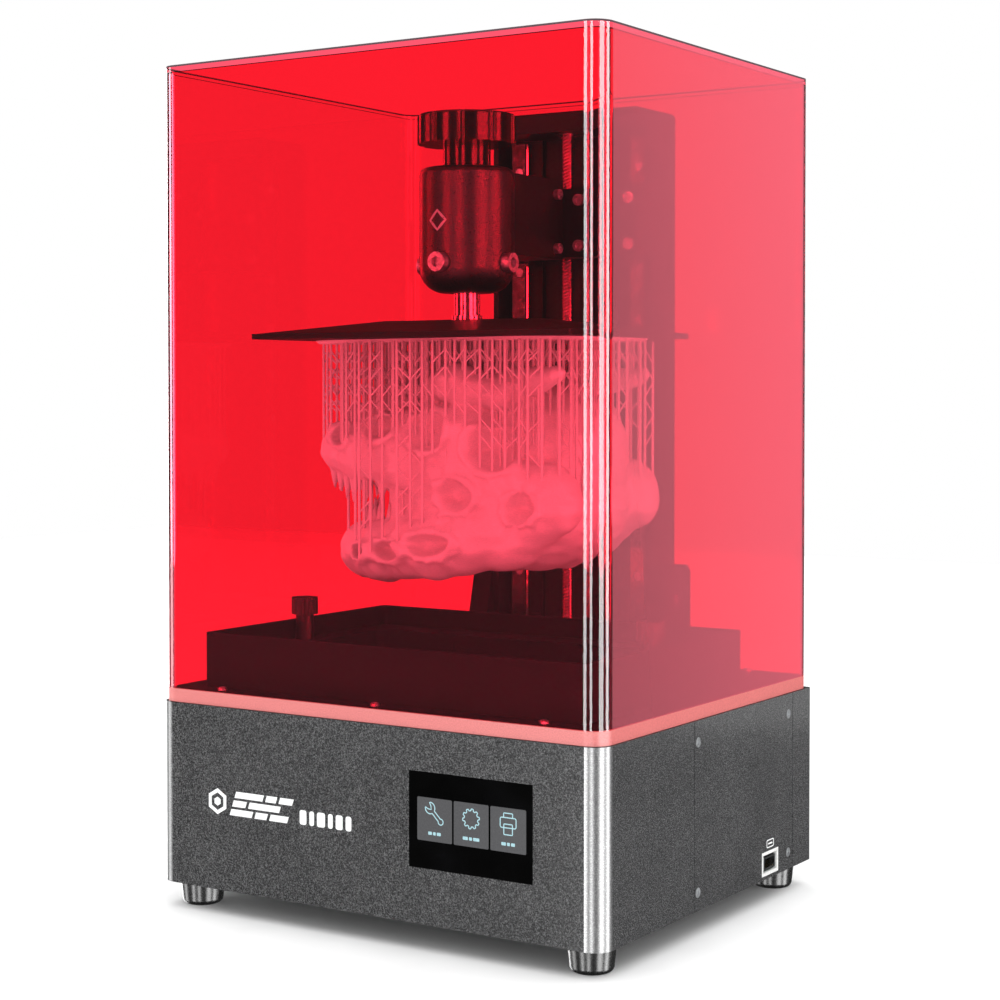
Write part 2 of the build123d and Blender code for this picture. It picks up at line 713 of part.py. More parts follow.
def clamp_body():
    """Round clamp housing with the ball socket inside and a bore for the draw screw."""
    body = rod(0, PLATE_Y, CLAMP_BOTTOM, CLAMP_TOP, CLAMP_RADIUS)
    rims = body.edges().filter_by(GeomType.CIRCLE).sort_by(Axis.Z)
    body = fillet(rims[0], 14.0)
    body = fillet(body.edges().filter_by(GeomType.CIRCLE).sort_by(Axis.Z)[-1], 4.0)
    body -= Pos(0, PLATE_Y, BALL_Z) * Sphere(BALL_RADIUS + 0.06)
    body -= rod(0, PLATE_Y, CLAMP_BOTTOM - 1, CLAMP_BOTTOM + 6.0, 9.0)
    body -= rod(0, PLATE_Y, BALL_Z + 8, CLAMP_TOP + 1, 5.3)
    for angle in range(0, 360, 90):
        spot = Rot(0, 0, angle) * rod_x(24.6, 30, 0, BALL_Z + 2, 6.0)
        bore = Rot(0, 0, angle) * rod_x(12.3, 30, 0, BALL_Z + 2, 3.0)
        body -= Pos(0, PLATE_Y, 0) * spot
        body -= Pos(0, PLATE_Y, 0) * bore
    return body


def clamp_screws():
    """Four socket screws that hold the ball at its angle."""
    screws = []
    for angle in range(0, 360, 90):
        screw = Pos(24.6, 0, BALL_Z + 2) * Rot(0, 90, 0) * cap_screw(5.25, 5.6, 3.0, 12.0)
        screws.append(Pos(0, PLATE_Y, 0) * Rot(0, 0, angle) * screw)
    return screws


def clamp_knob():
    """Fluted hand knob with its collar and draw screw in one piece."""
    knob = rod(0, PLATE_Y, KNOB_TOP - 16, KNOB_TOP, KNOB_RADIUS)
    knob = chamfer(knob.edges().group_by(Axis.Z)[-1], 1.2)
    for index in range(10):
        angle = math.radians(36 * index + 10)
        x = (KNOB_RADIUS + 1.6) * math.cos(angle)
        y = PLATE_Y + (KNOB_RADIUS + 1.6) * math.sin(angle)
        knob -= rod(x, y, KNOB_TOP - 20, KNOB_TOP + 1, 3.2)
    knob += rod(0, PLATE_Y, CLAMP_TOP + 0.3, KNOB_TOP - 16, 13.0)
    return knob + rod(0, PLATE_Y, BALL_Z + BALL_RADIUS + 0.3, CLAMP_TOP + 1, 5.0)


def ball_stud():
    """Steel ball on a short shaft that carries the building plate."""
    ball = Pos(0, PLATE_Y, BALL_Z) * Sphere(BALL_RADIUS)
    ball += rod(0, PLATE_Y, PLATE_BOTTOM + PLATE_EDGE + PLATE_ROOF, BALL_Z, STUD_RADIUS)
    base = PLATE_BOTTOM + PLATE_EDGE + PLATE_ROOF
    return ball + rod(0, PLATE_Y, base, base + 2.2, STUD_RADIUS + 1.2)


def build_plate():
    """Aluminium plate: a thin flat edge and a low hipped roof."""
    low = rounded(PLATE_HALF_X, PLATE_HALF_Y, PLATE_BOTTOM, PLATE_BOTTOM + PLATE_EDGE, 1.5, PLATE_Y)
    z0 = PLATE_BOTTOM + PLATE_EDGE
    wide = Plane.XY.offset(z0) * Pos(0, PLATE_Y) * Rectangle(2 * PLATE_HALF_X - 4, 2 * PLATE_HALF_Y - 4)
    narrow = Plane.XY.offset(z0 + PLATE_ROOF) * Pos(0, PLATE_Y) * Rectangle(98, 18)
    return low + loft(Sketch() + [wide, narrow])


# ---------------------------------------------------------------- sample print
def print_raft():
    """Thin base layer of the print, stuck under the plate."""
    return rounded(96, 54, PLATE_BOTTOM - RAFT_THICKNESS, PLATE_BOTTOM, 5.0, PLATE_Y)


def print_supports():
    """Thin columns between the raft and the print."""
    posts = []
    for column in range(7):
        for row in range(4):
            x = -84 + 28 * column
            y = PLATE_Y - 42 + 28 * row
            posts.append(rod(x, y, PRINT_TOP, PLATE_BOTTOM - RAFT_THICKNESS, 1.2))
    return posts


def sample_print():
    """Plain stand-in for the printed model, a tapered body with round corners."""
    levels = (
        (PRINT_BOTTOM, 44.0, 30.0, -20.0),
        (PRINT_BOTTOM + 45.0, 88.0, 46.0, 2.0),
        (PRINT_TOP, 90.0, 48.0, 2.0),
    )
    sections = []
    for z, half_x, half_y, shift in levels:
        outline = RectangleRounded(2 * half_x, 2 * half_y, 20.0)
        sections.append(Plane.XY.offset(z) * Pos(shift, PLATE_Y) * outline)
    return loft(Sketch() + sections, ruled=True)


# ---------------------------------------------------------------- vat
def vat_body():
    """Machined vat: a thin upstanding wall, a ledge for the thumb screws and the open basin."""
    body = rounded(VAT_HALF_X, VAT_HALF_Y, DECK_TOP, VAT_TOP, 4.0, VAT_Y)
    body -= rounded(VAT_HALF_X - VAT_WALL, VAT_HALF_Y - VAT_WALL, VAT_LEDGE, VAT_TOP + 1, 2.5, VAT_Y)
    body -= rounded(BASIN_HALF_X, BASIN_HALF_Y, DECK_TOP - 1, VAT_TOP, 8.0, PLATE_Y)
    body -= rounded(BASIN_HALF_X + 5, BASIN_HALF_Y + 8, DECK_TOP - 1, FRAME_TOP, 6.0, PLATE_Y)
    for side in (-1, 1):
        body -= rod(side * THUMB_X, THUMB_Y, DECK_TOP - 1, VAT_TOP, 3.2)
    return body


def film_frame():
    """Steel ring that stretches the release film under the basin."""
    frame = rounded(BASIN_HALF_X + 4.8, BASIN_HALF_Y + 7.8, DECK_TOP, FRAME_TOP - 0.2, 6.0, PLATE_Y)
    return frame - rounded(BASIN_HALF_X, BASIN_HALF_Y, 0, FRAME_TOP + 1, 8.0, PLATE_Y)


def release_film():
    return rounded(BASIN_HALF_X + 4.5, BASIN_HALF_Y + 7.5, FRAME_TOP - 0.2, FRAME_TOP, 6.0, PLATE_Y)


def thumb_screw(side):
    """Knurled thumb screw that holds the vat on the deck."""
    x = side * THUMB_X
    screw = rod(x, THUMB_Y, 153.0, 162.6, 7.6)
    for index in range(12):
        angle = math.radians(30 * index)
        screw -= rod(x + 8.2 * math.cos(angle), THUMB_Y + 8.2 * math.sin(angle), 150, 165, 1.2)
    screw += rod(x, THUMB_Y, VAT_LEDGE + 0.3, 153.0, 5.2)
    return screw + rod(x, THUMB_Y, DECK_TOP - 2.0, VAT_LEDGE + 1, 2.5)


# ---------------------------------------------------------------- cover
def cover_tube(z0, z1):
    """Rectangular tube with round corners, the cover's wall thickness."""
    half_x = WIDTH / 2 - COVER_INSET
    half_y = DEPTH / 2 - COVER_INSET
    tube = rounded(half_x, half_y, z0, z1, COVER_CORNER)
    inner = COVER_CORNER - COVER_WALL
    return tube - rounded(half_x - COVER_WALL, half_y - COVER_WALL, z0 - 1, z1 + 1, inner)


def cover_roof():
    half_x = WIDTH / 2 - COVER_INSET
    half_y = DEPTH / 2 - COVER_INSET
    return rounded(half_x, half_y, COVER_TOP - COVER_ROOF, COVER_TOP, COVER_CORNER)


# ---------------------------------------------------------------- cables inside the base
def cable(radius, points, bend):
    """Round cable along straight runs with round corners."""
    path = FilletPolyline(*points, radius=bend)
    start = Plane(origin=path @ 0, z_dir=path % 0)
    return sweep(start * Circle(radius), path)


def motor_cable():
    """From the motor's plug down and across to the main board."""
    points = ((21.15, 84, 82), (50, 84, 82), (50, 84, 58), (94, 40, 58), (94, 40, 36))
    return cable(2.2, points, 9.0)


def supply_cable():
    """From the supply, behind the lamp, to the main board."""
    points = ((-86, 50, 40), (-70, 50, 40), (-56, 62, 48), (110, 62, 48), (110, 40, 48), (110, 40, 36))
    return cable(2.4, points, 5.0)


# ---------------------------------------------------------------- write every node
save("front_shell", front_shell())
save("side_panel_left", side_panel(-1))
save("side_panel_right", side_panel(1))
save("housing_screws", *side_screws(), *foot_screws())
save("rear_panel", rear_panel())
save("floor_plate", floor_plate())
save("feet", *[foot(x, y) for x, y in FOOT_PLACES])

save("deck_plate", deck_plate())
save("screen_frame", screen_frame())
save("mask_screen", mask_screen())
save("lamp_hood", lamp_hood())
save("lamp_board", lamp_board(), *lamp_lenses())
save("lamp_heatsink", lamp_heatsink())
save("lamp_fan_frame", LAMP_FAN * fan_frame(60, 13, 28.0))
save("lamp_fan_rotor", LAMP_FAN * fan_rotor(13, 28.0))
save("rear_fan_frame", REAR_FAN * fan_frame(60, 13, 28.0))
save("rear_fan_rotor", REAR_FAN * fan_rotor(13, 28.0))

save("mainboard", mainboard(), *mainboard_parts())
save("power_supply", power_supply())
save("usb_board", usb_board())
save("usb_socket", usb_socket(), usb_tongue())
save("usb_bezel", usb_bezel())
save("power_inlet", power_inlet())
save("switch_bezel", switch_bezel())
save("power_rocker", power_rocker())
save("touch_glass", touch_glass())
save("touch_module", touch_module())
save("base_cables", motor_cable(), supply_cable())

save("motor_plate", motor_plate())
save("stepper_motor", stepper_motor())
save("motor_shaft", motor_shaft())
save("motor_coupler", motor_coupler())
save("lead_screw", lead_screw())
save("screw_bearing", screw_bearing())

save("column_frame", column_frame())
save("column_spine", column_spine())
save("column_cap", column_cap())
save("column_feet", column_foot(-1), column_foot(1))
save("linear_rails", linear_rail(-1), linear_rail(1))
save("column_screws", *foot_bolts(), *rail_screws())

save("rail_blocks", rail_block(-1), rail_block(1))
save("carriage_plate", carriage())
save("carriage_screws", *carriage_screws(), *arm_screws())
save("screw_nut", screw_nut())
save("plate_arm", plate_arm())
save("clamp_body", clamp_body())
save("clamp_screws", *clamp_screws())
save("clamp_knob", clamp_knob())
save("ball_stud", ball_stud())
save("build_plate", build_plate())
save("print_supports", print_raft(), *print_supports())
save("sample_print", sample_print())

save("vat_body", vat_body())
save("film_frame", film_frame())
save("release_film", release_film())
save("thumb_screw_left", thumb_screw(-1))
save("thumb_screw_right", thumb_screw(1))

save("cover_walls", cover_tube(SKIRT_TOP, COVER_TOP - COVER_ROOF))
save("cover_roof", cover_roof())
save("cover_skirt", cover_tube(SKIRT_BOTTOM, SKIRT_TOP))
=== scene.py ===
import math

import bmesh
import bpy
import numpy as np
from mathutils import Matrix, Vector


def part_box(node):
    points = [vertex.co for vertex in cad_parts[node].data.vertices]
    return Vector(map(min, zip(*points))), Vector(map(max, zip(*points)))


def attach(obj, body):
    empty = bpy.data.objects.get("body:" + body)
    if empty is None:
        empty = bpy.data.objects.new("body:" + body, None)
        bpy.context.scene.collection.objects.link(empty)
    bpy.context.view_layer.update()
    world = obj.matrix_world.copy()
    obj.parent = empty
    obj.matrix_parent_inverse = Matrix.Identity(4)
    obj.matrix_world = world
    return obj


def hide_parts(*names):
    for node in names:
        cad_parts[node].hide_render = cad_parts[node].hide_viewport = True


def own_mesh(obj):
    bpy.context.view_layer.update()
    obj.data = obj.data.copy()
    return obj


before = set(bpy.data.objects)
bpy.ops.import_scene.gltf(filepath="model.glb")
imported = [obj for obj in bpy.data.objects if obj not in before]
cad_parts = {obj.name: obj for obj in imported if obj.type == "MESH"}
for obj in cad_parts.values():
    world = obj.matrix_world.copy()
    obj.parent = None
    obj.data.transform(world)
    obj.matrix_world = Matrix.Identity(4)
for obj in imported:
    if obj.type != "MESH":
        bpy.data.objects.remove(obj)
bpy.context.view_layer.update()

# The base's sides are folded aluminium sheet: a wrapped front shell, two screwed side panels and a back.
# They are powder coated in dark metallic grey under a hard clear lacquer, so the fine grain glitters a little
# and the rounded corners draw out the studio's strips into bright upright bands.
MM = 0.001
WALL_GREY = ("#1b1b1c", "#3e3e3f", "#7c7c7d")
# Grit of 0.15 mm is drawn at 0.62 mm so that it shows.
COAT_GRAIN = 0.62
LACQUER = {"Coat_Weight": 1.0, "Coat_IOR": 1.9, "Specular_IOR_Level": 0.0}
WALL_LACQUER_ROUGH = 0.12
CORNER_LACQUER_ROUGH = 0.3
# How fast the corners' softer lacquer takes over as the surface turns away from a flat wall.
CORNER_TURN = 6.0
# Noise values at a grain's pits, at its middle and at its tips.
GRAIN_STOPS = (0.34, 0.54, 0.77)
SHEEN_START = 0.32
CLOUD_SCALE = 0.02
CLOUD_SHARE = 0.08
LAYER_SHARE = 0.6


def linear(code):
    """An sRGB hex colour as the linear red, green, blue and alpha that shaders take."""
    share = np.array([int(code[i : i + 2], 16) for i in (1, 3, 5)]) / 255
    light = np.where(share <= 0.04045, share / 12.92, ((share + 0.055) / 1.055) ** 2.4)
    return (*light.tolist(), 1.0)


def add(tree, kind, **given):
    """Adds one node. A given name is an input, by its name or as inN, or a property; a socket is linked
    and a value is set. stops are a colour ramp's places and colours."""
    made = tree.nodes.new("ShaderNode" + kind)
    for name, value in given.items():
        words = name.replace("_", " ")
        if name == "stops":
            ramp = made.color_ramp.elements
            while len(ramp) < len(value):
                ramp.new(0.5)
            for element, (place, colour) in zip(ramp, value):
                element.position = place
                element.color = linear(colour)
            continue
        if name.startswith("in") and name[2:].isdigit():
            socket = made.inputs[int(name[2:])]
        elif words in made.inputs:
            socket = made.inputs[words]
        else:
            setattr(made, name, value)
            continue
        if isinstance(value, bpy.types.NodeSocket):
            tree.links.new(value, socket)
        elif isinstance(value, str):
            socket.default_value = linear(value)
        else:
            socket.default_value = value
    return made


def finish(name):
    """A new material called name: the material, its emptied tree, and Object coordinates in millimetres."""
    made = bpy.data.materials.new(name)
    made.use_nodes = True
    tree = made.node_tree
    tree.nodes.clear()
    place = add(tree, "TexCoord").outputs["Object"]
    counted = add(tree, "VectorMath", operation="SCALE", in0=place, Scale=1 / MM)
    return made, tree, counted.outputs[0]


def grained(name, colours, grain, rough, bump, metallic=0.0, layers=0.0, **more):
    """A surface with a grain of so many millimetres: the three colours run from its pits to its tips, its
    roughness runs between the two given, and it stands bump millimetres high. layers is the height of a
    printed layer, whose edge is a sine of the height."""
    made, tree, place = finish(name)
    fine = add(tree, "TexNoise", Vector=place, Scale=1 / grain, Detail=2.0, Roughness=0.6).outputs["Fac"]
    broad = add(tree, "TexNoise", Vector=place, Scale=CLOUD_SCALE / grain, Detail=3.0).outputs["Fac"]
    both = add(tree, "Math", operation="MULTIPLY_ADD", in0=broad, in1=CLOUD_SHARE, in2=fine).outputs[0]
    shade = add(tree, "ValToRGB", Fac=both, stops=list(zip(GRAIN_STOPS, colours)))
    sheen = add(
        tree,
        "MapRange",
        Value=both,
        From_Min=SHEEN_START,
        From_Max=GRAIN_STOPS[2],
        To_Min=rough[0],
        To_Max=rough[1],
    )
    height = fine
    if layers:
        up = add(tree, "SeparateXYZ", Vector=place).outputs["Z"]
        turn = add(tree, "Math", operation="MULTIPLY", in0=up, in1=2 * math.pi / layers).outputs[0]
        wave = add(tree, "Math", operation="SINE", in0=turn).outputs[0]
        height = add(tree, "Math", operation="MULTIPLY_ADD", in0=wave, in1=LAYER_SHARE, in2=fine).outputs[0]
    raised = add(tree, "Bump", Height=height, Distance=bump * MM, Strength=1.0)
    body = add(
        tree,
        "BsdfPrincipled",
        Base_Color=shade.outputs["Color"],
        Roughness=sheen.outputs["Result"],
        Normal=raised.outputs["Normal"],
        Metallic=metallic,
        **more,
    )
    add(tree, "OutputMaterial", Surface=body.outputs[0])
    return made


def node_of(material, kind):
    """A material's only node of one kind."""
    return next(node for node in material.node_tree.nodes if node.type == kind)


def pooled(material, rough):
    """Softens the lacquer's mirror on rounded corners, where the coat pools: a second shader with rougher
    lacquer is mixed in by the product of the normal's two level parts, which is nought on a flat wall."""
    tree = material.node_tree
    body = node_of(material, "BSDF_PRINCIPLED")
    same = {name: body.inputs[name].links[0].from_socket for name in ("Base Color", "Roughness", "Normal")}
    level = add(tree, "SeparateXYZ", Vector=add(tree, "NewGeometry").outputs["Normal"]).outputs
    product = add(tree, "Math", operation="MULTIPLY", in0=level["X"], in1=level["Y"]).outputs[0]
    size = add(tree, "Math", operation="ABSOLUTE", in0=product).outputs[0]
    share = add(tree, "Math", operation="MULTIPLY", in0=size, in1=CORNER_TURN, use_clamp=True).outputs[0]
    soft = add(tree, "BsdfPrincipled", Coat_Roughness=rough, **same, **LACQUER)
    both = add(tree, "MixShader", Fac=share, in1=body.outputs[0], in2=soft.outputs[0])
    tree.links.new(both.outputs[0], node_of(material, "OUTPUT_MATERIAL").inputs["Surface"])


def dress(material, *names):
    """Gives CAD pieces their material."""
    for name in names:
        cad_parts[name].data.materials.clear()
        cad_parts[name].data.materials.append(material)


wall_coat = grained(
    "metallic grey powder coat",
    WALL_GREY,
    COAT_GRAIN,
    (0.5, 0.6),
    0.004,
    Coat_Roughness=WALL_LACQUER_ROUGH,
    **LACQUER,
)
pooled(wall_coat, CORNER_LACQUER_ROUGH)
dress(wall_coat, "front_shell", "side_panel_left", "side_panel_right", "rear_panel")

# The deck, floor plate, lamp hood, motor plate and column brackets are cut and bent sheet metal, and the
# vat is milled from a block. All wear a plain black powder coat with no lacquer, so they look nearly matt,
# with a soft orange-peel grain.
black_coat = grained(
    "black powder coat",
    ("#060607", "#0b0b0c", "#19191a"),
    0.8,
    (0.42, 0.6),
    0.02,
    Specular_IOR_Level=0.06,
)
dress(black_coat, "vat_body", "deck_plate", "floor_plate", "motor_plate", "lamp_hood", "column_feet")

# Machine screws hold the panels, rails, carriage and clamp. They are cold-formed steel, zinc plated, which
# leaves them bright with soft cloudy patches from the plating bath.
bright_steel = grained(
    "zinc plated steel",
    ("#8d8f91", "#a4a6a8", "#bdbfc1"),
    2.0,
    (0.3, 0.42),
    0.002,
    metallic=1.0,
)
dress(bright_steel, "housing_screws", "column_screws", "carriage_screws", "clamp_screws")

# The feet are moulded black rubber, screwed up through the floor plate. Their polished mould leaves a
# slight shine, which picks up the strips as soft upright lines.
foot_rubber = grained("polished black rubber", ("#0a0a0a", "#101010", "#1b1b1b"), 1.2, (0.22, 0.3), 0.0008)
dress(foot_rubber, "feet")

# Inside the base are circuit boards under green solder mask, milled aluminium heatsink, supply case and
# film frame, moulded black plastic parts, and wires in black sheath. They are out of sight while the
# machine is whole.
board_mask = grained("green solder mask", ("#0c3a20", "#14502d", "#2a7a49"), 3.0, (0.3, 0.45), 0.01)
dress(board_mask, "lamp_board", "mainboard", "usb_board")
raw_aluminium = grained(
    "milled aluminium",
    ("#9b9da0", "#b7b9bb", "#d0d2d4"),
    1.5,
    (0.3, 0.42),
    0.01,
    metallic=1.0,
)
dress(raw_aluminium, "lamp_heatsink", "power_supply", "film_frame")
moulded_black = grained("moulded black plastic", ("#0d0d0e", "#161617", "#242425"), 1.0, (0.4, 0.52), 0.01)
dress(moulded_black, "lamp_fan_frame", "lamp_fan_rotor", "rear_fan_frame", "rear_fan_rotor", "power_inlet")
dress(moulded_black, "switch_bezel", "power_rocker", "touch_module", "stepper_motor", "screen_frame")
cable_skin = grained("black cable sheath", ("#0c0c0d", "#141415", "#1f1f20"), 1.5, (0.4, 0.5), 0.01)
dress(cable_skin, "base_cables")

# The touch panel's front and the mask screen are ground sheets of dark glass, bonded into their frames.
# Polishing leaves them smooth and mirror-like, with only the faintest unevenness.
dark_glass = grained(
    "black display glass",
    ("#010101", "#020202", "#040405"),
    30.0,
    (0.05, 0.1),
    0.0004,
    Specular_IOR_Level=0.2,
)
dress(dark_glass, "touch_glass", "mask_screen")

# The frame round the USB socket is injection moulded white plastic, clipped into the side panel. It is
# satin, with a fine even grain from its mould.
moulded_white = grained("moulded white plastic", ("#dededc", "#ececea", "#f6f6f5"), 1.2, (0.35, 0.45), 0.008)
dress(moulded_white, "usb_bezel")

# The clamp and the vat's thumb screws are turned aluminium, anodised black. Fine turning leaves them satin,
# with a broad soft highlight down each cylinder.
anodised = grained("black anodised aluminium", ("#060607", "#0a0a0b", "#131314"), 0.7, (0.25, 0.36), 0.003)
dress(anodised, "clamp_body", "thumb_screw_left", "thumb_screw_right")

# The column is a folded sheet on an extruded spine, under a flat cap, and carries the carriage, arm and
# build plate. All are aluminium, bead-blasted before they were anodised, so they are matt with a fine even
# grain.
blasted = grained(
    "bead-blasted black anodised aluminium",
    ("#050506", "#0a0a0b", "#141415"),
    0.7,
    (0.35, 0.5),
    0.006,
    Specular_IOR_Level=0.12,
)
dress(blasted, "column_frame", "column_spine", "column_cap", "carriage_plate", "plate_arm", "build_plate")

# The clamp's knob is the same metal, but its flutes and its stem are turned with a finer cut, so it mirrors
# its surroundings more sharply. It screws down on the ball stud's seat.
fine_turned = grained(
    "fine turned black anodised aluminium",
    ("#070708", "#0c0c0d", "#161617"),
    0.7,
    (0.1, 0.16),
    0.001,
)
dress(fine_turned, "clamp_knob")

# Rails, shafts, bearing and ball stud are hardened steel, ground and polished to size, and the USB shell is
# drawn from bright plated sheet. The nut is turned brass, yellow with a satin cut.
ground_steel = grained(
    "ground bearing steel",
    ("#b4b6b8", "#cacccd", "#e0e1e2"),
    3.0,
    (0.08, 0.16),
    0.001,
    metallic=1.0,
)
dress(ground_steel, "linear_rails", "rail_blocks", "lead_screw", "motor_shaft", "motor_coupler")
dress(ground_steel, "screw_bearing", "ball_stud", "usb_socket")
brass = grained("turned brass", ("#8d6a2c", "#b08a3e", "#d3b066"), 1.5, (0.25, 0.35), 0.005, metallic=1.0)
dress(brass, "screw_nut")

# The vat's floor is a release film of clear fluoropolymer, stretched tight under the film frame. It is
# almost colourless and hardly bends light, so the dark screen shows through it.
film = grained(
    "clear release film",
    ("#e8e8ea", "#f2f2f4", "#fafafb"),
    20.0,
    (0.04, 0.08),
    0.0005,
    Transmission_Weight=0.96,
    IOR=1.34,
)
dress(film, "release_film")

# The sample print hangs from the plate: a made-up beast's skull, grown downwards in cured light-grey resin
# on the raft and props that the printer's software puts there. It shortens towards the plate as that goes
# down. Its matt surface has fine level lines: layers of 0.05 mm are drawn at 0.9 mm so that they show.
resin = grained(
    "cured grey resin",
    ("#d2d3cf", "#e2e3df", "#efefec"),
    0.6,
    (0.42, 0.55),
    0.02,
    layers=0.9,
)


def corners(node):
    """A CAD piece's lowest and highest corners, in millimetres to the nearest hundredth."""
    return np.round(np.array(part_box(node)) / MM, 2)


PLATE_LOW, PLATE_HIGH = corners("build_plate")
PRINT_MIDDLE_Y = (PLATE_LOW[1] + PLATE_HIGH[1]) / 2
PLATE_UNDERSIDE = PLATE_LOW[2]
GRID = 1.3
SKULL_LOW = np.array((-99.0, -60.0, 172.0))
SKULL_HIGH = np.array((100.0, 60.0, 304.0))
# Bones of the right half, as runs of balls joined by cones: along, across, up, ball radius.
BROW = ((-86, 5, 247, 9), (-60, 19, 243, 9), (-14, 33, 240, 11), (30, 40, 238, 13), (78, 39, 230, 14))
JAW_BONE = ((80, 38, 222, 14), (52, 37, 208, 18), (6, 36, 200, 18), (-40, 21, 194, 16), (-64, 4, 193, 16))
BONES = (
    ((14, 0, 256, 35), (52, 0, 250, 40)),
    ((32, 0, 268, 28), (-34, 0, 264, 23), (-80, 0, 252, 14)),
    ((-74, 12, 254, 10), (-22, 26, 255, 16), (24, 35, 258, 18)),
    BROW,
    JAW_BONE,
    ((4, 33, 224, 15), (50, 34, 226, 20)),
    ((-14, 0, 226, 22), (4, 8, 224, 30), (50, 8, 224, 38)),
    ((-36, 14, 246, 8), (-16, 30, 206, 9)),
    ((50, 41, 210, 13), (58, 38, 236, 9)),
    ((-8, 24, 282, 7), (18, 38, 286, 10), (48, 38, 280, 9)),
    ((-74, 0, 268, 6), (-20, 0, 287, 7), (40, 0, 292, 6)),
    ((50, 30, 284, 10), (82, 42, 290, 5)),
    ((-64, 14, 252, 6), (-44, 10, 276, 6)),
)
# Hollows of the right half: along, across, up, and the radius each way.
HOLLOWS = (
    (4, 57, 262, 17, 18, 13),
    (50, 58, 254, 17, 20, 14),
    (-34, 46, 262, 14, 19, 7),
    (-68, 27, 258, 8, 12, 6),
    (26, 60, 227, 13, 16, 9),
    (12, 60, 201, 15, 14, 6),
    (68, 60, 222, 9, 14, 8),
    (-22, 48, 196, 12, 15, 5),
    (-46, 36, 194, 7, 12, 4),
)
# How far apart two shapes still run together: bones, a lip into its bone, a hollow's rim, and a tooth's
# root.
BONE_REACH = 5.0
LIP_REACH = 2.5
RIM_REACH = 1.5
TOOTH_REACH = 1.2
# A hollow's lip is so wide each way and stands so far out of the bone, and ribs fan out beyond it.
LIP_HALF = 2.8
LIP_HEIGHT = 2.2
RIB_COUNT = 9
RIB_HEIGHT = 0.5
RIB_MIDDLE = 6
RIB_SPREAD = 4.5
LUMP_HEIGHT = 0.9
FIBRE_HEIGHT = 0.3
# Rows of teeth: the bone's run, down or up, how many, the longest one's length, and its place in the row.
TOOTH_ROWS = ((BROW[:4], -1, 11, 20, 0.25), (JAW_BONE[2:], 1, 8, 23, 0.8))
TOOTH_SHRINK = 0.072
TOOTH_ROOT = 4.4
TOOTH_TIP = 0.5


def smooth_least(a, b, reach):
    """The lesser of two fields, rounded where they come within reach of each other: a - b is squashed by a
    parabola."""
    near = np.clip(0.5 + 0.5 * (b - a) / reach, 0, 1)
    return b + (a - b) * near - reach * near * (1 - near)


def cone_field(at, first, last):
    """Distance from points to a cone with round ends: the distance to the line's nearest point, less a
    radius that runs evenly from one end to the other."""
    start = first[:3]
    run = last[:3] - start
    share = np.clip(((at - start) @ run) / (run @ run), 0, 1)
    away = np.linalg.norm(at - start - share[..., None] * run, axis=-1)
    return away - first[3] - share * (last[3] - first[3])


def skull_field(at):
    """Distance-like field of the skull: bones run together smoothly, each hollow is cut out inside a raised
    lip with ribs running out from it, sines give the bone its lumps and fibres, and the teeth come last."""
    half = np.stack((at[..., 0], np.abs(at[..., 1]), at[..., 2]), axis=-1)
    solid = np.full(at.shape[:-1], 1e3, np.float32)
    ribs = np.zeros(at.shape[:-1])
    for run in BONES:
        for first, last in zip(run, run[1:]):
            cone = cone_field(half, np.array(first, float), np.array(last, float))
            solid = smooth_least(solid, cone, BONE_REACH)
    for hollow in HOLLOWS:
        middle = np.array(hollow[:3], float)
        radii = np.array(hollow[3:], float)
        away = (np.linalg.norm((half - middle) / radii, axis=-1) - 1) * radii.min()
        lip = np.maximum(np.abs(away) - LIP_HALF, solid - LIP_HEIGHT)
        angle = np.arctan2(half[..., 2] - middle[2], half[..., 0] - middle[0])
        fade = np.exp(-(((away - RIB_MIDDLE) / RIB_SPREAD) ** 2))
        ribs += RIB_HEIGHT * np.sin(RIB_COUNT * angle) * fade
        solid = -smooth_least(-smooth_least(solid, lip, LIP_REACH), away, RIM_REACH)
    x, y, z = np.moveaxis(at, -1, 0)
    waves = np.sin(x / 4.1 + 1.7 * np.sin(z / 9)) * np.sin(z / 5.3 + np.sin(y / 7))
    lumps = waves * np.sin(y / 6.1 + x / 17)
    fibres = np.sin(z / 1.3 + 1.5 * np.sin(x / 11) + np.sin(y / 9)) * np.sin(x / 9 + y / 8)
    solid = solid + LUMP_HEIGHT * lumps + FIBRE_HEIGHT * fibres + ribs
    for rim, up, count, length, longest in TOOTH_ROWS:
        path = np.array(rim, float)
        along = np.linspace(0.02, 0.98, count) * (len(path) - 1)
        for n, t in enumerate(along):
            root = np.array([np.interp(t, np.arange(len(path)), path[:, c]) for c in range(4)])
            long = length * (1 - TOOTH_SHRINK * abs(n - (count - 1) * longest))
            sunk = root[3] * 0.5
            first = np.array((root[0], root[1] + 1, root[2] + up * sunk, TOOTH_ROOT))
            last = np.array((root[0] - 2, root[1], root[2] + up * (sunk + long), TOOTH_TIP))
            solid = smooth_least(solid, cone_field(half, first, last), TOOTH_REACH)
    return solid


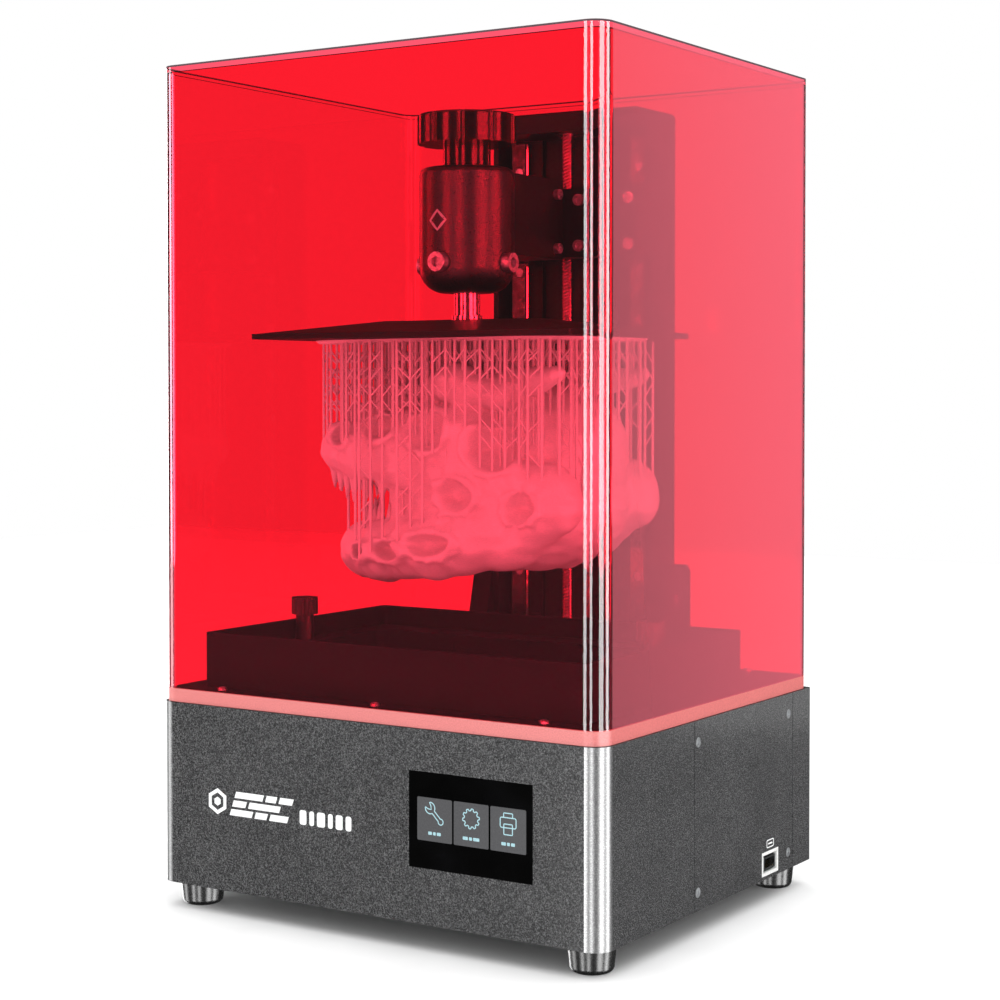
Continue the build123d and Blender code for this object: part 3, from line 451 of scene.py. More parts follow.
def skin(field, low, step):
    """Surface nets: a vertex in each grid cell that the surface crosses, at the mean of its edges'
    crossings, and a quad round each grid edge whose two ends lie on opposite sides."""
    inside = field < 0
    total = np.zeros((*[n - 1 for n in field.shape], 3))
    count = np.zeros(total.shape[:3])
    edges = []
    for axis in range(3):
        near = tuple(slice(0, -1) if a == axis else slice(None) for a in range(3))
        far = tuple(slice(1, None) if a == axis else slice(None) for a in range(3))
        cross = inside[near] != inside[far]
        share = np.where(cross, field[near] / np.where(cross, field[near] - field[far], 1), 0)
        point = np.stack(np.indices(cross.shape), axis=-1).astype(float)
        point[..., axis] += share
        point *= cross[..., None]
        others = [a for a in range(3) if a != axis]
        for shift in ((0, 0), (0, 1), (1, 0), (1, 1)):
            part = [slice(None)] * 3
            for a, s in zip(others, shift):
                part[a] = slice(s, cross.shape[a] - 1 + s)
            total += point[tuple(part)]
            count += cross[tuple(part)]
        edges.append((axis, others, np.argwhere(cross)))
    used = count > 0
    order = np.cumsum(used.ravel()).reshape(used.shape) - 1
    points = total[used] / count[used][:, None] * step + low
    faces = []
    for axis, (one, two), at in edges:
        level = at[:, (one, two)]
        at = at[np.all((level > 0) & (level < np.array(used.shape)[[one, two]]), axis=1)]
        around = []
        for shift in ((1, 1), (0, 1), (0, 0), (1, 0)):
            cell = at.copy()
            cell[:, one] -= shift[0]
            cell[:, two] -= shift[1]
            around.append(order[tuple(cell.T)])
        quads = np.stack(around, axis=1)
        turn = inside[tuple(at.T)] == (axis == 1)
        quads[turn] = quads[turn][:, ::-1]
        faces.append(quads)
    return points, np.concatenate(faces).tolist()


def piece(name, points, faces, material, body, slot, smooth=True):
    """A mesh object from points in millimetres, with its faces turned outwards, riding on a body."""
    mesh = bpy.data.meshes.new(name)
    mesh.from_pydata((points * MM).tolist(), [], faces)
    shape = bmesh.new()
    shape.from_mesh(mesh)
    bmesh.ops.recalc_face_normals(shape, faces=shape.faces)
    shape.to_mesh(mesh)
    shape.free()
    mesh.materials.append(material)
    mesh.polygons.foreach_set("use_smooth", np.full(len(mesh.polygons), smooth))
    mesh.update()
    made = bpy.data.objects.new(name, mesh)
    bpy.context.scene.collection.objects.link(made)
    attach(made, body)
    return made


grid = [np.arange(low, high, GRID) for low, high in zip(SKULL_LOW, SKULL_HIGH)]
bone = skull_field(np.stack(np.meshgrid(*grid, indexing="ij"), axis=-1))
points, faces = skin(bone, SKULL_LOW, GRID)
points[:, 1] += PRINT_MIDDLE_Y
skull = piece("beast_skull", points, faces, resin, "platform", "cured_resin")
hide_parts("sample_print")
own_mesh(skull)

# The props are slim six-sided rods of the same resin, grown with the skull from the raft down to whatever
# bone lies under them, and braced in zigzags. A few more stand between the jaws.
RAFT_BOTTOM = PLATE_UNDERSIDE - 2.0
PROP_PITCH = 7.5
PROP_REACH = (94, 52)
PROP_STRAY = 1.2
PROP_RADIUS = 0.75
PROP_SINK = 0.8
BRACE_RADIUS = 0.45
BRACE_RISE = 9.0
BRACE_SLOPE = 0.8
BRACE_SHARE = 0.6
BRACE_TOP = RAFT_BOTTOM - 4
BRACE_FLOOR = 178
MOUTH_SHARE = 0.4
dice = np.random.default_rng(5)


def rods(starts, ends, radii, sides=6):
    """Straight rods, as one array: a ring of points round each end, joined by quads and closed by end
    faces."""
    run = ends - starts
    run = run / np.linalg.norm(run, axis=1, keepdims=True)
    side = np.cross(run, np.where(np.abs(run[:, 2:3]) > 0.9, (1.0, 0, 0), (0, 0, 1.0)))
    side /= np.linalg.norm(side, axis=1, keepdims=True)
    other = np.cross(run, side)
    turn = np.arange(sides) / sides * 2 * np.pi
    ring = side[:, None] * np.cos(turn)[:, None] + other[:, None] * np.sin(turn)[:, None]
    ring = ring * radii[:, None, None]
    points = np.concatenate((starts[:, None] + ring, ends[:, None] + ring), axis=1).reshape(-1, 3)
    base = np.arange(len(starts)) * 2 * sides
    faces = []
    for n in range(sides):
        m = (n + 1) % sides
        faces.append(np.stack((base + n, base + m, base + sides + m, base + sides + n), axis=1))
    quads = np.concatenate(faces).tolist()
    here = np.arange(sides)
    caps = np.concatenate((base[:, None] + here[::-1], base[:, None] + sides + here))
    return points, quads + caps.tolist()


prop_lines = [np.arange(1 - reach, reach, PROP_PITCH) for reach in PROP_REACH]
prop_x, prop_y = np.meshgrid(*prop_lines, indexing="ij")
prop_x = prop_x + dice.uniform(-PROP_STRAY, PROP_STRAY, prop_x.shape)
prop_y = prop_y + dice.uniform(-PROP_STRAY, PROP_STRAY, prop_y.shape)
column_x = ((prop_x - SKULL_LOW[0]) / GRID).round().astype(int)
column_y = ((prop_y - SKULL_LOW[1]) / GRID).round().astype(int)
below = (bone < 0)[column_x, column_y][:, :, ::-1]
levels = grid[2][::-1]


def lattice(top, foot, held):
    """Props between two heights wherever held, and zigzag braces between neighbours where both stand
    open."""
    lower = np.stack((prop_x, prop_y + PRINT_MIDDLE_Y, foot - PROP_SINK), axis=-1)
    upper = np.stack((prop_x, prop_y + PRINT_MIDDLE_Y, top + PROP_SINK), axis=-1)
    starts = [lower[held]]
    ends = [upper[held]]
    radii = [np.full(held.sum(), PROP_RADIUS)]
    for step in ((1, 0), (0, 1)):
        one = tuple(slice(0, n - s) for n, s in zip(held.shape, step))
        two = tuple(slice(s, None) for s in step)
        pair = held[one] & held[two]
        low = np.fmax(foot[one], foot[two])[pair]
        high = np.fmin(top[one], top[two])[pair]
        a = upper[one][pair]
        b = upper[two][pair]
        for level in np.arange(BRACE_TOP, BRACE_FLOOR, -BRACE_RISE):
            swap = (dice.random(len(a)) < 0.5)[:, None]
            open_air = (level < high) & (level - BRACE_RISE > low + 1)
            keep = open_air & (dice.random(len(a)) < BRACE_SHARE)
            first = np.where(swap, a, b)[keep]
            last = np.where(swap, b, a)[keep]
            first[:, 2] = level
            last[:, 2] = level - BRACE_RISE * BRACE_SLOPE
            starts.append(last)
            ends.append(first)
            radii.append(np.full(len(first), BRACE_RADIUS))
    return np.concatenate(starts), np.concatenate(ends), np.concatenate(radii)


# Going down each line: the bone's first level, the next open one, and the bone's next level under that.
down = np.arange(below.shape[2])
first_bone = below.argmax(axis=2)
next_open = ((down > first_bone[:, :, None]) & ~below).argmax(axis=2)
next_bone = (below & (down > next_open[:, :, None])).argmax(axis=2)
under_raft = lattice(np.full(prop_x.shape, RAFT_BOTTOM - 0.3), levels[first_bone], below.any(axis=2))
in_jaws = (next_open > 0) & (next_bone > next_open + 3) & (dice.random(prop_x.shape) < MOUTH_SHARE)
in_mouth = lattice(levels[next_open], levels[next_bone], in_jaws)
prop_points, prop_faces = rods(*(np.concatenate(pair) for pair in zip(under_raft, in_mouth)))
props = piece("print_props", prop_points, prop_faces, resin, "platform", "cured_resin", smooth=False)
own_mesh(props)

# The raft is the print's first few layers, cured straight on to the plate: a thin pad of resin with a
# rounded outline, narrower towards the left, and sides that slope in downwards.
RAFT_HALF = (95.0, 53.0)
RAFT_CORNER = 30.0
RAFT_TAPER = ((-95.0, -25.0, 45.0, 95.0), (0.42, 0.78, 1.0, 0.92))
# Height under the plate and how far the outline stands in, from the bottom up.
RAFT_LEVELS = ((1.9, 2.2), (1.5, 1.4), (0.1, 0.0))


def rounded_box(half_x, half_y, corner, steps=8):
    """The outline of a rectangle with round corners, anticlockwise: four quarter circles of so many
    points."""
    turn = np.radians(np.arange(4)[:, None] * 90 + np.linspace(0, 90, steps)).ravel()
    signs = np.repeat([(1, 1), (-1, 1), (-1, -1), (1, -1)], steps, axis=0)
    middles = signs * (half_x - corner, half_y - corner)
    return middles + corner * np.stack((np.cos(turn), np.sin(turn)), axis=-1)


def stack(outlines):
    """A closed solid from outlines one above another, each an n x 3 array with the same number of
    points."""
    layers = np.array(outlines)
    count, n = layers.shape[:2]
    here = np.arange(n)
    after = (here + 1) % n
    faces = [here[::-1].tolist(), ((count - 1) * n + here).tolist()]
    for low in range(0, (count - 1) * n, n):
        faces += np.stack((low + here, low + after, low + n + after, low + n + here), axis=1).tolist()
    return layers.reshape(-1, 3), faces


pad = []
for depth, inset in RAFT_LEVELS:
    outline = rounded_box(RAFT_HALF[0] - inset, RAFT_HALF[1] - inset, RAFT_CORNER, 16)
    outline[:, 1] *= np.interp(outline[:, 0], *RAFT_TAPER)
    level = np.full(len(outline), PLATE_UNDERSIDE - depth)
    pad.append(np.column_stack((outline + (0, PRINT_MIDDLE_Y), level)))
raft = piece("print_raft", *stack(pad), resin, "platform", "cured_resin", smooth=False)
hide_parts("print_supports")
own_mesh(raft)

# The cover is cast acrylic, tinted red right through and polished on both sides. Its roof is glued on, and
# the roof's top corner is bevelled; the dark look its polished edge takes from trapped light is painted on
# as a thin smoky band of painted shade. Its side walls scatter a pale veil when seen aslant, partly haze and
# partly a painted reflection of the softboxes, painted a little stronger towards the top.
SHEET_TINT = "#fb536a"
VEIL_AND_REFLECTION_COLOUR = "#df6375"
BEVEL_PAINTED_SHADE = "#5e4b50"
ACRYLIC_IOR = 1.49
# The roof is drawn with hardly any bend, or its edge would trap all its light and turn black.
ROOF_IOR = 1.003
RIPPLE_SPACING = 100.0
RIPPLE_HEIGHT = 0.03
VEIL_SHARE = 5.4
VEIL_POWER = 4.0
VEIL_AT_FOOT = 0.86
VEIL_AT_TOP = 1.12
# The veil lies within this depth of a side wall's outer face, and stops this far short of its ends.
FACE_DEPTH = 0.5
CORNER_START = 10.5
BEVEL = 1.0
COVER_SIDE = corners("cover_walls")[1]
COVER_TOP = corners("cover_roof")[1][2]
COVER_FOOT = corners("deck_plate")[1][2]


def tinted(name, bend, bevel=False):
    """Red acrylic: smooth glass for the eye and for mirrors, plain clear for the light that falls through
    it. The veil grows with the fourth power of how aslant the wall is seen; it is partly haze and partly a
    painted reflection. With bevel, the roof's top edge gets a band of painted shade."""
    made, tree, place = finish(name)
    wave = add(tree, "TexNoise", Vector=place, Scale=1 / RIPPLE_SPACING, Detail=1.0).outputs["Fac"]
    ripple = add(tree, "Bump", Height=wave, Distance=RIPPLE_HEIGHT * MM, Strength=0.5).outputs["Normal"]
    split = add(tree, "SeparateXYZ", Vector=place).outputs
    upright = add(tree, "SeparateXYZ", Vector=add(tree, "NewGeometry").outputs["Normal"]).outputs["Z"]
    lying = add(tree, "Math", operation="ABSOLUTE", in0=upright).outputs[0]
    standing = add(tree, "Math", operation="LESS_THAN", in0=lying, in1=0.5).outputs[0]
    pane = add(
        tree,
        "BsdfPrincipled",
        Base_Color=SHEET_TINT,
        Roughness=0.0,
        IOR=bend,
        Transmission_Weight=1.0,
        Normal=ripple,
        Coat_Weight=standing if bevel else 0.0,
        Coat_IOR=ACRYLIC_IOR,
    ).outputs[0]
    aslant = add(tree, "LayerWeight", Blend=0.5).outputs["Facing"]
    steep = add(tree, "Math", operation="POWER", in0=aslant, in1=VEIL_POWER).outputs[0]
    spread = add(tree, "Math", operation="MULTIPLY", in0=steep, in1=VEIL_SHARE, use_clamp=True).outputs[0]
    rising = add(
        tree,
        "MapRange",
        Value=split["Z"],
        From_Min=COVER_FOOT,
        From_Max=COVER_TOP,
        To_Min=VEIL_AT_FOOT,
        To_Max=VEIL_AT_TOP,
    ).outputs["Result"]
    across = add(tree, "Math", operation="ABSOLUTE", in0=split["X"]).outputs[0]
    along = add(tree, "Math", operation="ABSOLUTE", in0=split["Y"]).outputs[0]
    face = COVER_SIDE[0] - FACE_DEPTH
    outer = add(tree, "Math", operation="GREATER_THAN", in0=across, in1=face).outputs[0]
    flat = add(tree, "Math", operation="LESS_THAN", in0=along, in1=COVER_SIDE[1] - CORNER_START).outputs[0]
    side = add(tree, "Math", operation="MULTIPLY", in0=outer, in1=flat).outputs[0]
    graded = add(tree, "Math", operation="MULTIPLY", in0=spread, in1=rising).outputs[0]
    share = add(tree, "Math", operation="MULTIPLY", in0=graded, in1=side, use_clamp=True).outputs[0]
    # A pale diffuse veil on the side walls, stronger upwards: partly haze, partly a painted reflection of the
    # softboxes.
    haze_and_reflection = add(tree, "BsdfDiffuse", Color=VEIL_AND_REFLECTION_COLOUR).outputs[0]
    pane = add(tree, "MixShader", Fac=share, in1=pane, in2=haze_and_reflection).outputs[0]
    # The roof's standing top edge gets a smoky diffuse band: painted shade for its dark, light-trapping edge.
    if bevel:
        edge = COVER_TOP - BEVEL
        high = add(tree, "Math", operation="GREATER_THAN", in0=split["Z"], in1=edge).outputs[0]
        rim = add(tree, "Math", operation="MULTIPLY", in0=standing, in1=high).outputs[0]
        painted_edge_shade = add(tree, "BsdfDiffuse", Color=BEVEL_PAINTED_SHADE).outputs[0]
        pane = add(tree, "MixShader", Fac=rim, in1=pane, in2=painted_edge_shade).outputs[0]
    rays = add(tree, "LightPath").outputs
    shadow = rays["Is Shadow Ray"]
    falling = add(tree, "Math", operation="MAXIMUM", in0=shadow, in1=rays["Is Diffuse Ray"]).outputs[0]
    open_air = add(tree, "BsdfTransparent", Color="#ffffff").outputs[0]
    whole = add(tree, "MixShader", Fac=falling, in1=pane, in2=open_air)
    add(tree, "OutputMaterial", Surface=whole.outputs[0])
    return made


dress(tinted("cast red acrylic", ACRYLIC_IOR), "cover_walls")
dress(tinted("cast red acrylic, roof", ROOF_IOR, bevel=True), "cover_roof")

# The cover's foot is a band of the same acrylic, sanded to a frost and glued round the walls. Frosting
# turns it a pale coral that hides what is behind it.
skirt = grained("frosted coral acrylic", ("#c75653", "#d35f5c", "#dd6a67"), 0.7, (0.4, 0.5), 0.01)
dress(skirt, "cover_skirt")

# The front carries white printing: a plain hexagon badge, slanted dashes, and a short row of upright bars.
# The ink is a thin screen-printed film, opaque and nearly matt.
FRONT_FACE_Y = corners("front_shell")[0][1]
RIGHT_FACE_X = corners("side_panel_right")[1][0]
INK_HEIGHT = 0.15
INK_SINK = 0.05
BADGE_MIDDLE = (-98.0, 61.5)
BADGE_RADIUS = 5.9
BADGE_LINE = 2.2
BADGE_CORE = 2.4
LEAN = 0.35
# Each row of dashes: its foot, its top, and where each dash starts and ends along the foot.
DASH_ROWS = (
    (55.0, 58.4, (-89.5, -74.5, -72.5, -64.5, -62.5, -50.5)),
    (59.8, 63.2, (-89.5, -80.5, -78.5, -57.5)),
    (64.6, 68.0, (-89.5, -70.5, -68.5, -61.5, -59.5, -50.5)),
)
BAR_START = -42.0
BAR_WIDTHS = (4.4, 3.0, 5.2, 3.0, 4.4, 3.6)
BAR_GAP = 2.0
BAR_FOOT = 55.5
BAR_TOP = 63.1
BAR_CORNER = 1.2
ink = grained("white screen ink", ("#e8e8e8", "#f6f6f6", "#ffffff"), 1.2, (0.5, 0.6), 0.004)


def on_front(flat, up, out):
    """Places a flat drawing on the front wall: along is to the right, up is up, out is towards the
    viewer."""
    return np.stack((flat, FRONT_FACE_Y - out, up), axis=-1)


def slab(outline, place, low, high):
    """A closed flat solid: one outline repeated at two heights out of the wall."""
    outline = np.asarray(outline, float)
    return stack([place(outline[:, 0], outline[:, 1], np.full(len(outline), h)) for h in (low, high)])


def band(path, width, place, low, high):
    """A closed line of even width: a rectangle carried round the path, each corner square to the line
    through its two neighbours."""
    path = np.asarray(path, float)
    run = np.roll(path, -1, axis=0) - np.roll(path, 1, axis=0)
    normal = np.stack((-run[:, 1], run[:, 0]), axis=-1) / np.linalg.norm(run, axis=1, keepdims=True)
    side = normal * width / 2
    edges = ((path + side, low), (path - side, low), (path - side, high), (path + side, high))
    rings = np.stack([place(edge[:, 0], edge[:, 1], np.full(len(edge), h)) for edge, h in edges], axis=1)
    here = np.arange(len(path)) * 4
    after = np.roll(here, -1)
    faces = []
    for n in range(4):
        m = (n + 1) % 4
        faces += np.stack((here + n, here + m, after + m, after + n), axis=1).tolist()
    return rings.reshape(-1, 3), faces


def joined(parts):
    """Several meshes as one: their points end to end, their faces counted on."""
    points, faces = [], []
    start = 0
    for part_points, part_faces in parts:
        points.append(part_points)
        faces += [[start + n for n in face] for face in part_faces]
        start += len(part_points)
    return np.concatenate(points), faces


def round_path(centre, radius, first, last, steps):
    """Points of an arc from one angle to another, in degrees."""
    turn = np.radians(np.linspace(first, last, steps))
    return np.stack((centre[0] + radius * np.cos(turn), centre[1] + radius * np.sin(turn)), axis=-1)


def slanted(left, right, low, high):
    """A bar whose ends lean to the right."""
    drift = (high - low) * LEAN
    return [(left, low), (right, low), (right + drift, high), (left + drift, high)]


def pill(left, right, low, high, corner):
    """A bar with round corners."""
    middle = ((left + right) / 2, (low + high) / 2)
    return rounded_box((right - left) / 2, (high - low) / 2, corner, 5) + middle


def printed(outline):
    """A slab of ink on the front wall."""
    return slab(outline, on_front, -INK_SINK, INK_HEIGHT)


badge = [
    band(round_path(BADGE_MIDDLE, BADGE_RADIUS, 30, 330, 6), BADGE_LINE, on_front, -INK_SINK, INK_HEIGHT),
    printed(round_path(BADGE_MIDDLE, BADGE_CORE, 30, 330, 6)),
]
for low, high, ends in DASH_ROWS:
    drift = (low - DASH_ROWS[0][0]) * LEAN
    badge += [printed(slanted(a + drift, b + drift, low, high)) for a, b in zip(ends[::2], ends[1::2])]
left = BAR_START
for width in BAR_WIDTHS:
    badge.append(printed(pill(left, left + width, BAR_FOOT, BAR_TOP, BAR_CORNER)))
    left += width + BAR_GAP
piece("front_badge", *joined(badge), ink, "base", "plastic_white", smooth=False)

# The touch panel's picture is lit from behind its glass: three grey tiles, each with a thin pale drawing
# of a spanner, a gear or a printer over a caption of plain bars. The tiles and lines are drawn as thin
# glowing films, because the light is all that shows of them.
TILE_LOW = 56.6
TILE_HIGH = 78.4
TILES = ((33.0, 54.0), (55.1, 75.7), (76.8, 97.5))
TILE_CORNER = 0.7
TILE_FRONT = 0.06
LINE_FRONT = 0.12
LINE = 0.55
ICON_Z = 70.6
CAPTION_Z = 60.6
CAPTION_HALF = 0.8
CAPTION_CORNER = 0.35
CAPTION_GAP = 0.7
CAPTIONS = ((2.2, 1.6, 2.4), (3.0, 1.8, 3.6), (2.6, 1.6, 2.2))
lit_tile = grained("lit grey display tile", ("#565658", "#5a5a5c", "#5e5e60"), 0.8, (0.1, 0.2), 0.0)
lit_line = grained("lit pale display line", ("#a9d8e2", "#b9e2ea", "#c9ecf2"), 0.8, (0.1, 0.2), 0.0)
for shining in (lit_tile, lit_line):
    body = node_of(shining, "BSDF_PRINCIPLED")
    tint = body.inputs["Base Color"].links[0]
    shining.node_tree.links.new(tint.from_socket, body.inputs["Emission Color"])
    shining.node_tree.links.remove(body.inputs["Base Color"].links[0])
    body.inputs["Base Color"].default_value = linear("#020202")
    body.inputs["Emission Strength"].default_value = 1.0
tiles = [slab(pill(a, b, TILE_LOW, TILE_HIGH, TILE_CORNER), on_front, 0.01, TILE_FRONT) for a, b in TILES]
piece("touch_tiles", *joined(tiles), lit_tile, "base", "display_dark", smooth=False)

# The spanner lies at 45 degrees: a jaw with a notch at its top left, and a round end at its bottom right.
SPANNER_JAW = np.array((-2.7, 2.7))
SPANNER_END = np.array((3.7, -3.7))
JAW_RADIUS = 2.9
END_RADIUS = 1.5
SPANNER_AXES = np.array(((-1, 1), (-1, -1))) / math.sqrt(2)
NOTCH = ((0.4, 1.15), (-1.0, 0.0), (0.4, -1.15))
GEAR_RADIUS = 4.5
GEAR_TOOTH = 0.5
GEAR_TEETH = 10
spanner = np.concatenate(
    (
        round_path(SPANNER_JAW, JAW_RADIUS, 97, -26.5, 14),
        round_path(SPANNER_END, END_RADIUS, 95.7, -185.7, 18),
        round_path(SPANNER_JAW, JAW_RADIUS, -63.5, -187, 14),
        SPANNER_JAW + np.array(NOTCH) @ SPANNER_AXES,
    )
)
turn = np.linspace(0, 2 * math.pi, 160, endpoint=False)
reach = GEAR_RADIUS + GEAR_TOOTH * np.tanh(3 * np.sin(GEAR_TEETH * turn))
gear = np.stack((reach * np.cos(turn), reach * np.sin(turn)), axis=-1)
printer = [
    pill(-4.6, 4.6, -2.0, 3.0, 0.9),
    pill(-2.6, 2.6, 3.0, 5.2, 0.4),
    pill(-2.5, 2.5, -5.4, -0.2, 0.4),
]
lines = []
for (a, b), drawing, caption in zip(TILES, ([spanner], [gear], printer), CAPTIONS):
    middle = (a + b) / 2
    lines += [band(path + (middle, ICON_Z), LINE, on_front, TILE_FRONT, LINE_FRONT) for path in drawing]
    left = middle - (sum(caption) + CAPTION_GAP * (len(caption) - 1)) / 2
    for width in caption:
        bar = pill(left, left + width, CAPTION_Z - CAPTION_HALF, CAPTION_Z + CAPTION_HALF, CAPTION_CORNER)
        lines.append(slab(bar, on_front, TILE_FRONT, LINE_FRONT))
        left += width + CAPTION_GAP
piece("touch_icons", *joined(lines), lit_line, "base", "display_dark", smooth=False)

# Over the USB socket is a small frame with a bar in it, printed in the same white ink.
USB_BOX = corners("usb_socket")
USB_Y = (USB_BOX[0][1] + USB_BOX[1][1]) / 2
USB_MARK_HEIGHT = 0.1


def on_right(flat, up, out):
    """Places a flat drawing on the right wall: along runs to the back."""
    return np.stack((RIGHT_FACE_X + out, flat, up), axis=-1)


frame_mark = [
    band(pill(USB_Y - 4.2, USB_Y + 4.2, 30.8, 34.8, 0.8), 0.5, on_right, -INK_SINK, USB_MARK_HEIGHT),
    slab(pill(USB_Y - 2.6, USB_Y + 2.6, 32.4, 33.2, 0.35), on_right, -INK_SINK, USB_MARK_HEIGHT),
]
piece("usb_mark", *joined(frame_mark), ink, "base", "plastic_white", smooth=False)

# Under the socket's tongue lie four contacts, stamped from copper alloy and gold plated: warm, smooth and
# bright.
TONGUE_UNDERSIDE = 22.5
CONTACT_Y = (-3.6, -1.2, 1.2, 3.6)
CONTACT_X = (127.0, 134.3)
CONTACT_HALF = 0.55
gilt = grained("gilt contact", ("#b8862c", "#d6a548", "#eac878"), 1.0, (0.2, 0.3), 0.002, metallic=1.0)


def under_tongue(flat, up, out):
    """Lies flat under the tongue: along is the depth into the socket."""
    return np.stack((flat, up, TONGUE_UNDERSIDE - out), axis=-1)


contacts = []
for y in CONTACT_Y:
    strip = pill(*CONTACT_X, USB_Y + y - CONTACT_HALF, USB_Y + y + CONTACT_HALF, 0.2)
    contacts.append(slab(strip, under_tongue, -0.02, 0.12))
piece("usb_contacts", *joined(contacts), gilt, "base", "brass_nut", smooth=False)

# The lead screw is steel bar with a rolled trapezoidal thread: four starts, 2 mm apart, so that one turn
# lifts the nut 8 mm. Rolling leaves its flanks as bright as the ground shafts.
SCREW_BOX = corners("lead_screw")
THREAD_PITCH = 2.0
THREAD_LEAD = 8.0
THREAD_RADIUS = 3.5
THREAD_DEPTH = 1.0
FLANK_STEEPNESS = 1.6
THREAD_ROWS = 1213
THREAD_SIDES = 20
middle = SCREW_BOX.mean(axis=0)
rise, turn = np.meshgrid(
    np.linspace(*SCREW_BOX[:, 2], THREAD_ROWS),
    np.arange(THREAD_SIDES) / THREAD_SIDES * 2 * math.pi,
    indexing="ij",
)
phase = (rise - THREAD_LEAD * turn / (2 * math.pi)) / THREAD_PITCH
flank = FLANK_STEEPNESS * (np.abs((phase % 1) * 2 - 1) - 0.5)
reach = THREAD_RADIUS + np.clip(flank, -THREAD_DEPTH / 2, THREAD_DEPTH / 2)
thread = np.stack((middle[0] + reach * np.cos(turn), middle[1] + reach * np.sin(turn), rise), axis=-1)
screw = piece("threaded_screw", *stack(thread), ground_steel, "screw", "steel_bright")
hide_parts("lead_screw")

# Button-head screws of zinc plated steel hold the deck to the base: three along the front, and one in each
# corner at the back, where the column stands between them.
DECK_TOP = corners("deck_plate")[1][2]
DECK_SCREWS = ((-102.0, -109.5), (-102.0, 109.5), (0.0, -109.5), (102.0, -109.5), (102.0, 109.5))
# Radius and height, from the socket's middle over the head and back under it.
HEAD = ((0.0, 0.9), (1.25, 0.9), (1.25, 1.7), (1.9, 1.6), (2.5, 0.9), (2.6, 0.0), (2.4, -0.1), (0.0, -0.1))


def turned(profile, middle, low, sides=20):
    """A profile of radius and height carried round an upright axis; a radius of nought closes its end."""
    turn = np.arange(sides) / sides * 2 * math.pi
    radius, height = np.array(profile).T
    flat = np.maximum(radius, 0.02)[:, None] * np.stack((np.cos(turn), np.sin(turn)))[:, None, :]
    up = np.broadcast_to((low + height)[:, None], flat[0].shape)
    return stack(np.stack((middle[0] + flat[0], middle[1] + flat[1], up), axis=-1))


heads = [turned(HEAD, place, DECK_TOP) for place in DECK_SCREWS]
piece("deck_screw_heads", *joined(heads), bright_steel, "base", "screw_bright", smooth=False)

# The clamp carries a small lozenge, engraved after anodising and filled with pale matt paint.
CLAMP_RADIUS = corners("clamp_body")[1][0]
MARK_TURN = -4.0
MARK_Z = 373.5
MARK_LINE = 1.5
LOZENGE = ((5.2, 0), (2.6, 2.6), (0, 5.2), (-2.6, 2.6), (-5.2, 0), (-2.6, -2.6), (0, -5.2), (2.6, -2.6))
mark_paint = grained("pale mark paint", ("#8f8f8f", "#a4a4a4", "#b8b8b8"), 1.0, (0.4, 0.5), 0.002)


def on_clamp(flat, up, out):
    """Bends a flat drawing round the clamp's upright cylinder."""
    turn = np.radians(MARK_TURN) + flat / CLAMP_RADIUS
    away = CLAMP_RADIUS + out
    return np.stack((away * np.sin(turn), PRINT_MIDDLE_Y - away * np.cos(turn), up), axis=-1)


mark = band(np.array(LOZENGE) + (0, MARK_Z), MARK_LINE, on_clamp, -0.05, 0.06)
piece("clamp_mark", *mark, mark_paint, "carriage", "plastic_white", smooth=False)

# The studio: a long lens at the machine's front right, a little above its middle, and a floor of matt white
# paint that runs on into a bright even sky. The floor casts no shadow and doesn't show in mirrors.
CAMERA_PLACE = (0.6236, -0.9609, 0.2843)
CAMERA_PITCH = 88.6
CAMERA_TURN = 32.766
FLOOR_HALF = 2.2
camera_data = bpy.data.cameras.new("camera")
camera_data.lens = 73.9
camera_data.shift_y = -0.0636
camera = bpy.data.objects.new("camera", camera_data)
camera.location = CAMERA_PLACE
camera.rotation_euler = (math.radians(CAMERA_PITCH), 0, math.radians(CAMERA_TURN))
bpy.context.scene.collection.objects.link(camera)
bpy.context.scene.camera = camera

floor_mesh = bpy.data.meshes.new("floor")
floor_corners = [(x * FLOOR_HALF, y * FLOOR_HALF, 0) for x, y in ((-1, -1), (1, -1), (1, 1), (-1, 1))]
floor_mesh.from_pydata(floor_corners, [], [(0, 1, 2, 3)])
floor = bpy.data.objects.new("floor", floor_mesh)
bpy.context.scene.collection.objects.link(floor)
floor_white = grained("matt white floor paint", ("#f8f8f8", "#fafafa", "#fcfcfc"), 40.0, (0.8, 0.9), 0.01)
floor_mesh.materials.append(floor_white)
floor.visible_glossy = False
floor.visible_shadow = False

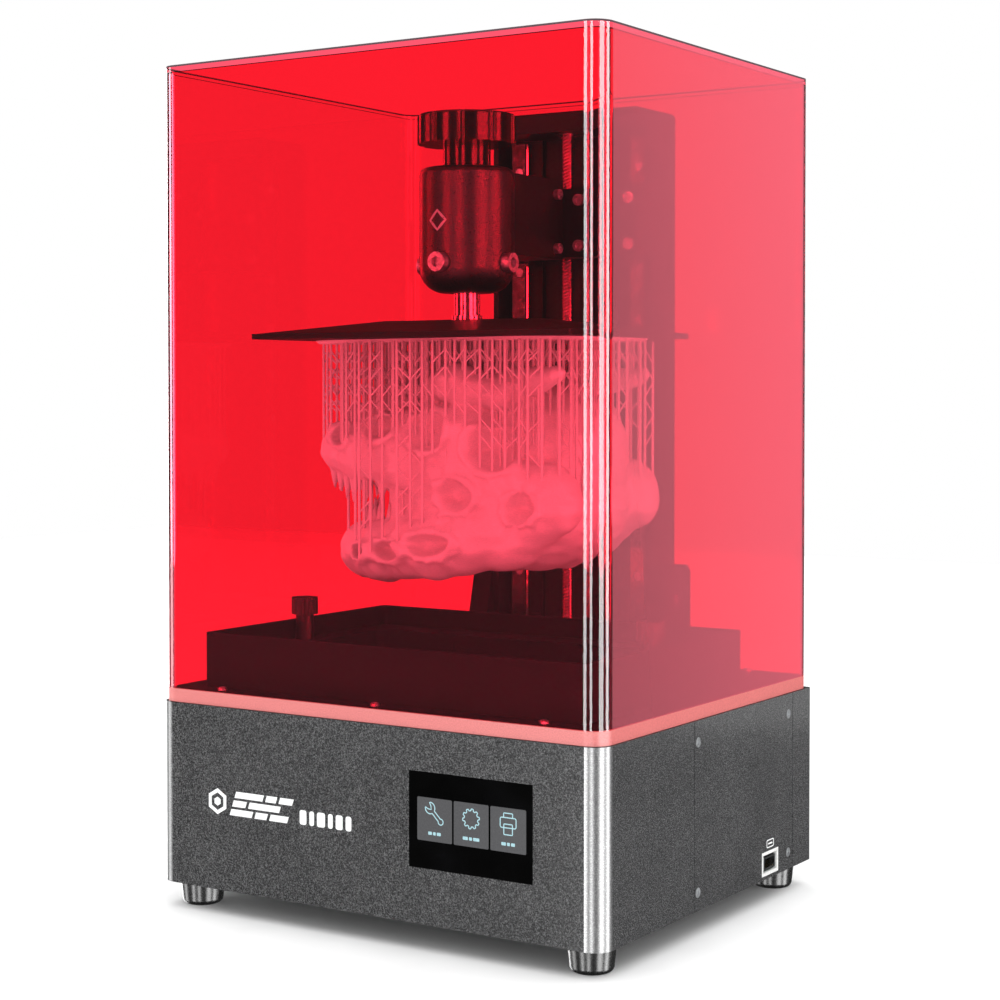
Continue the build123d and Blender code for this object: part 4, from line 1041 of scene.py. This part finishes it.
# Tall strip lights show only in shiny things. Each one fills the azimuths from its first to its second
# number, at its third as radiance, and they leave out what a flat wall mirrors when it is looked at
# squarely.
STRIP_DISTANCE = 3.0
STRIP_HEIGHT = 4.0
STRIPS = (
    (-22, -9.3, 14),
    (9.3, 22, 14),
    (58, 82.5, 14),
    (97.5, 117, 14),
    (-77, -56, 6),
    (-121, -103, 6),
)


def lamp(name, azimuth, distance, width, height, middle, radiance):
    """A flat light standing round the machine, facing it: azimuth 0 is in front, 90 is to the right. Its
    power is its face's radiance times its area times pi."""
    data = bpy.data.lights.new(name, "AREA")
    data.shape = "RECTANGLE"
    data.size = width
    data.size_y = height
    data.energy = radiance * math.pi * width * height
    light = bpy.data.objects.new(name, data)
    turn = math.radians(azimuth)
    light.location = (distance * math.sin(turn), -distance * math.cos(turn), middle)
    light.rotation_euler = (math.radians(90), 0, turn)
    light.visible_camera = False
    bpy.context.scene.collection.objects.link(light)
    return light


for n, (near, far, radiance) in enumerate(STRIPS):
    width = 2 * STRIP_DISTANCE * math.tan(math.radians(far - near) / 2)
    strip = lamp(f"strip {n}", (near + far) / 2, STRIP_DISTANCE, width, STRIP_HEIGHT, 0.0, radiance)
    strip.visible_diffuse = False

# Two softboxes light the machine itself: a weak one from behind on the right, and a wide one overhead that
# looks straight down.
lamp("back softbox", 150, 1.9, 0.9, 1.5, 0.55, 0.35)
top = lamp("top softbox", 0, 0.0, 4.0, 4.0, 2.5, 1.2)
top.rotation_euler = (0, 0, 0)

# The sky is white and even. It is a little brighter through the acrylic, and much dimmer in mirrors, as a
# studio with dark walls is.
SKY_IN_MIRRORS = 0.1
SKY_THROUGH_ACRYLIC = 1.16
world = bpy.data.worlds.new("studio")
world.use_nodes = True
bpy.context.scene.world = world
air = world.node_tree
air.nodes.clear()
seen = add(air, "LightPath").outputs
mirrored = add(air, "MapRange", Value=seen["Glossy Depth"], To_Min=1.0, To_Max=SKY_IN_MIRRORS)
through = add(air, "MapRange", Value=seen["Transmission Depth"], To_Min=1.0, To_Max=SKY_THROUGH_ACRYLIC)
strength = add(
    air,
    "Math",
    operation="MULTIPLY",
    in0=mirrored.outputs["Result"],
    in1=through.outputs["Result"],
)
sky = add(air, "Background", Color="#ffffff", Strength=strength.outputs[0])
add(air, "OutputWorld", Surface=sky.outputs[0])
bpy.context.scene.view_settings.view_transform = "Standard"
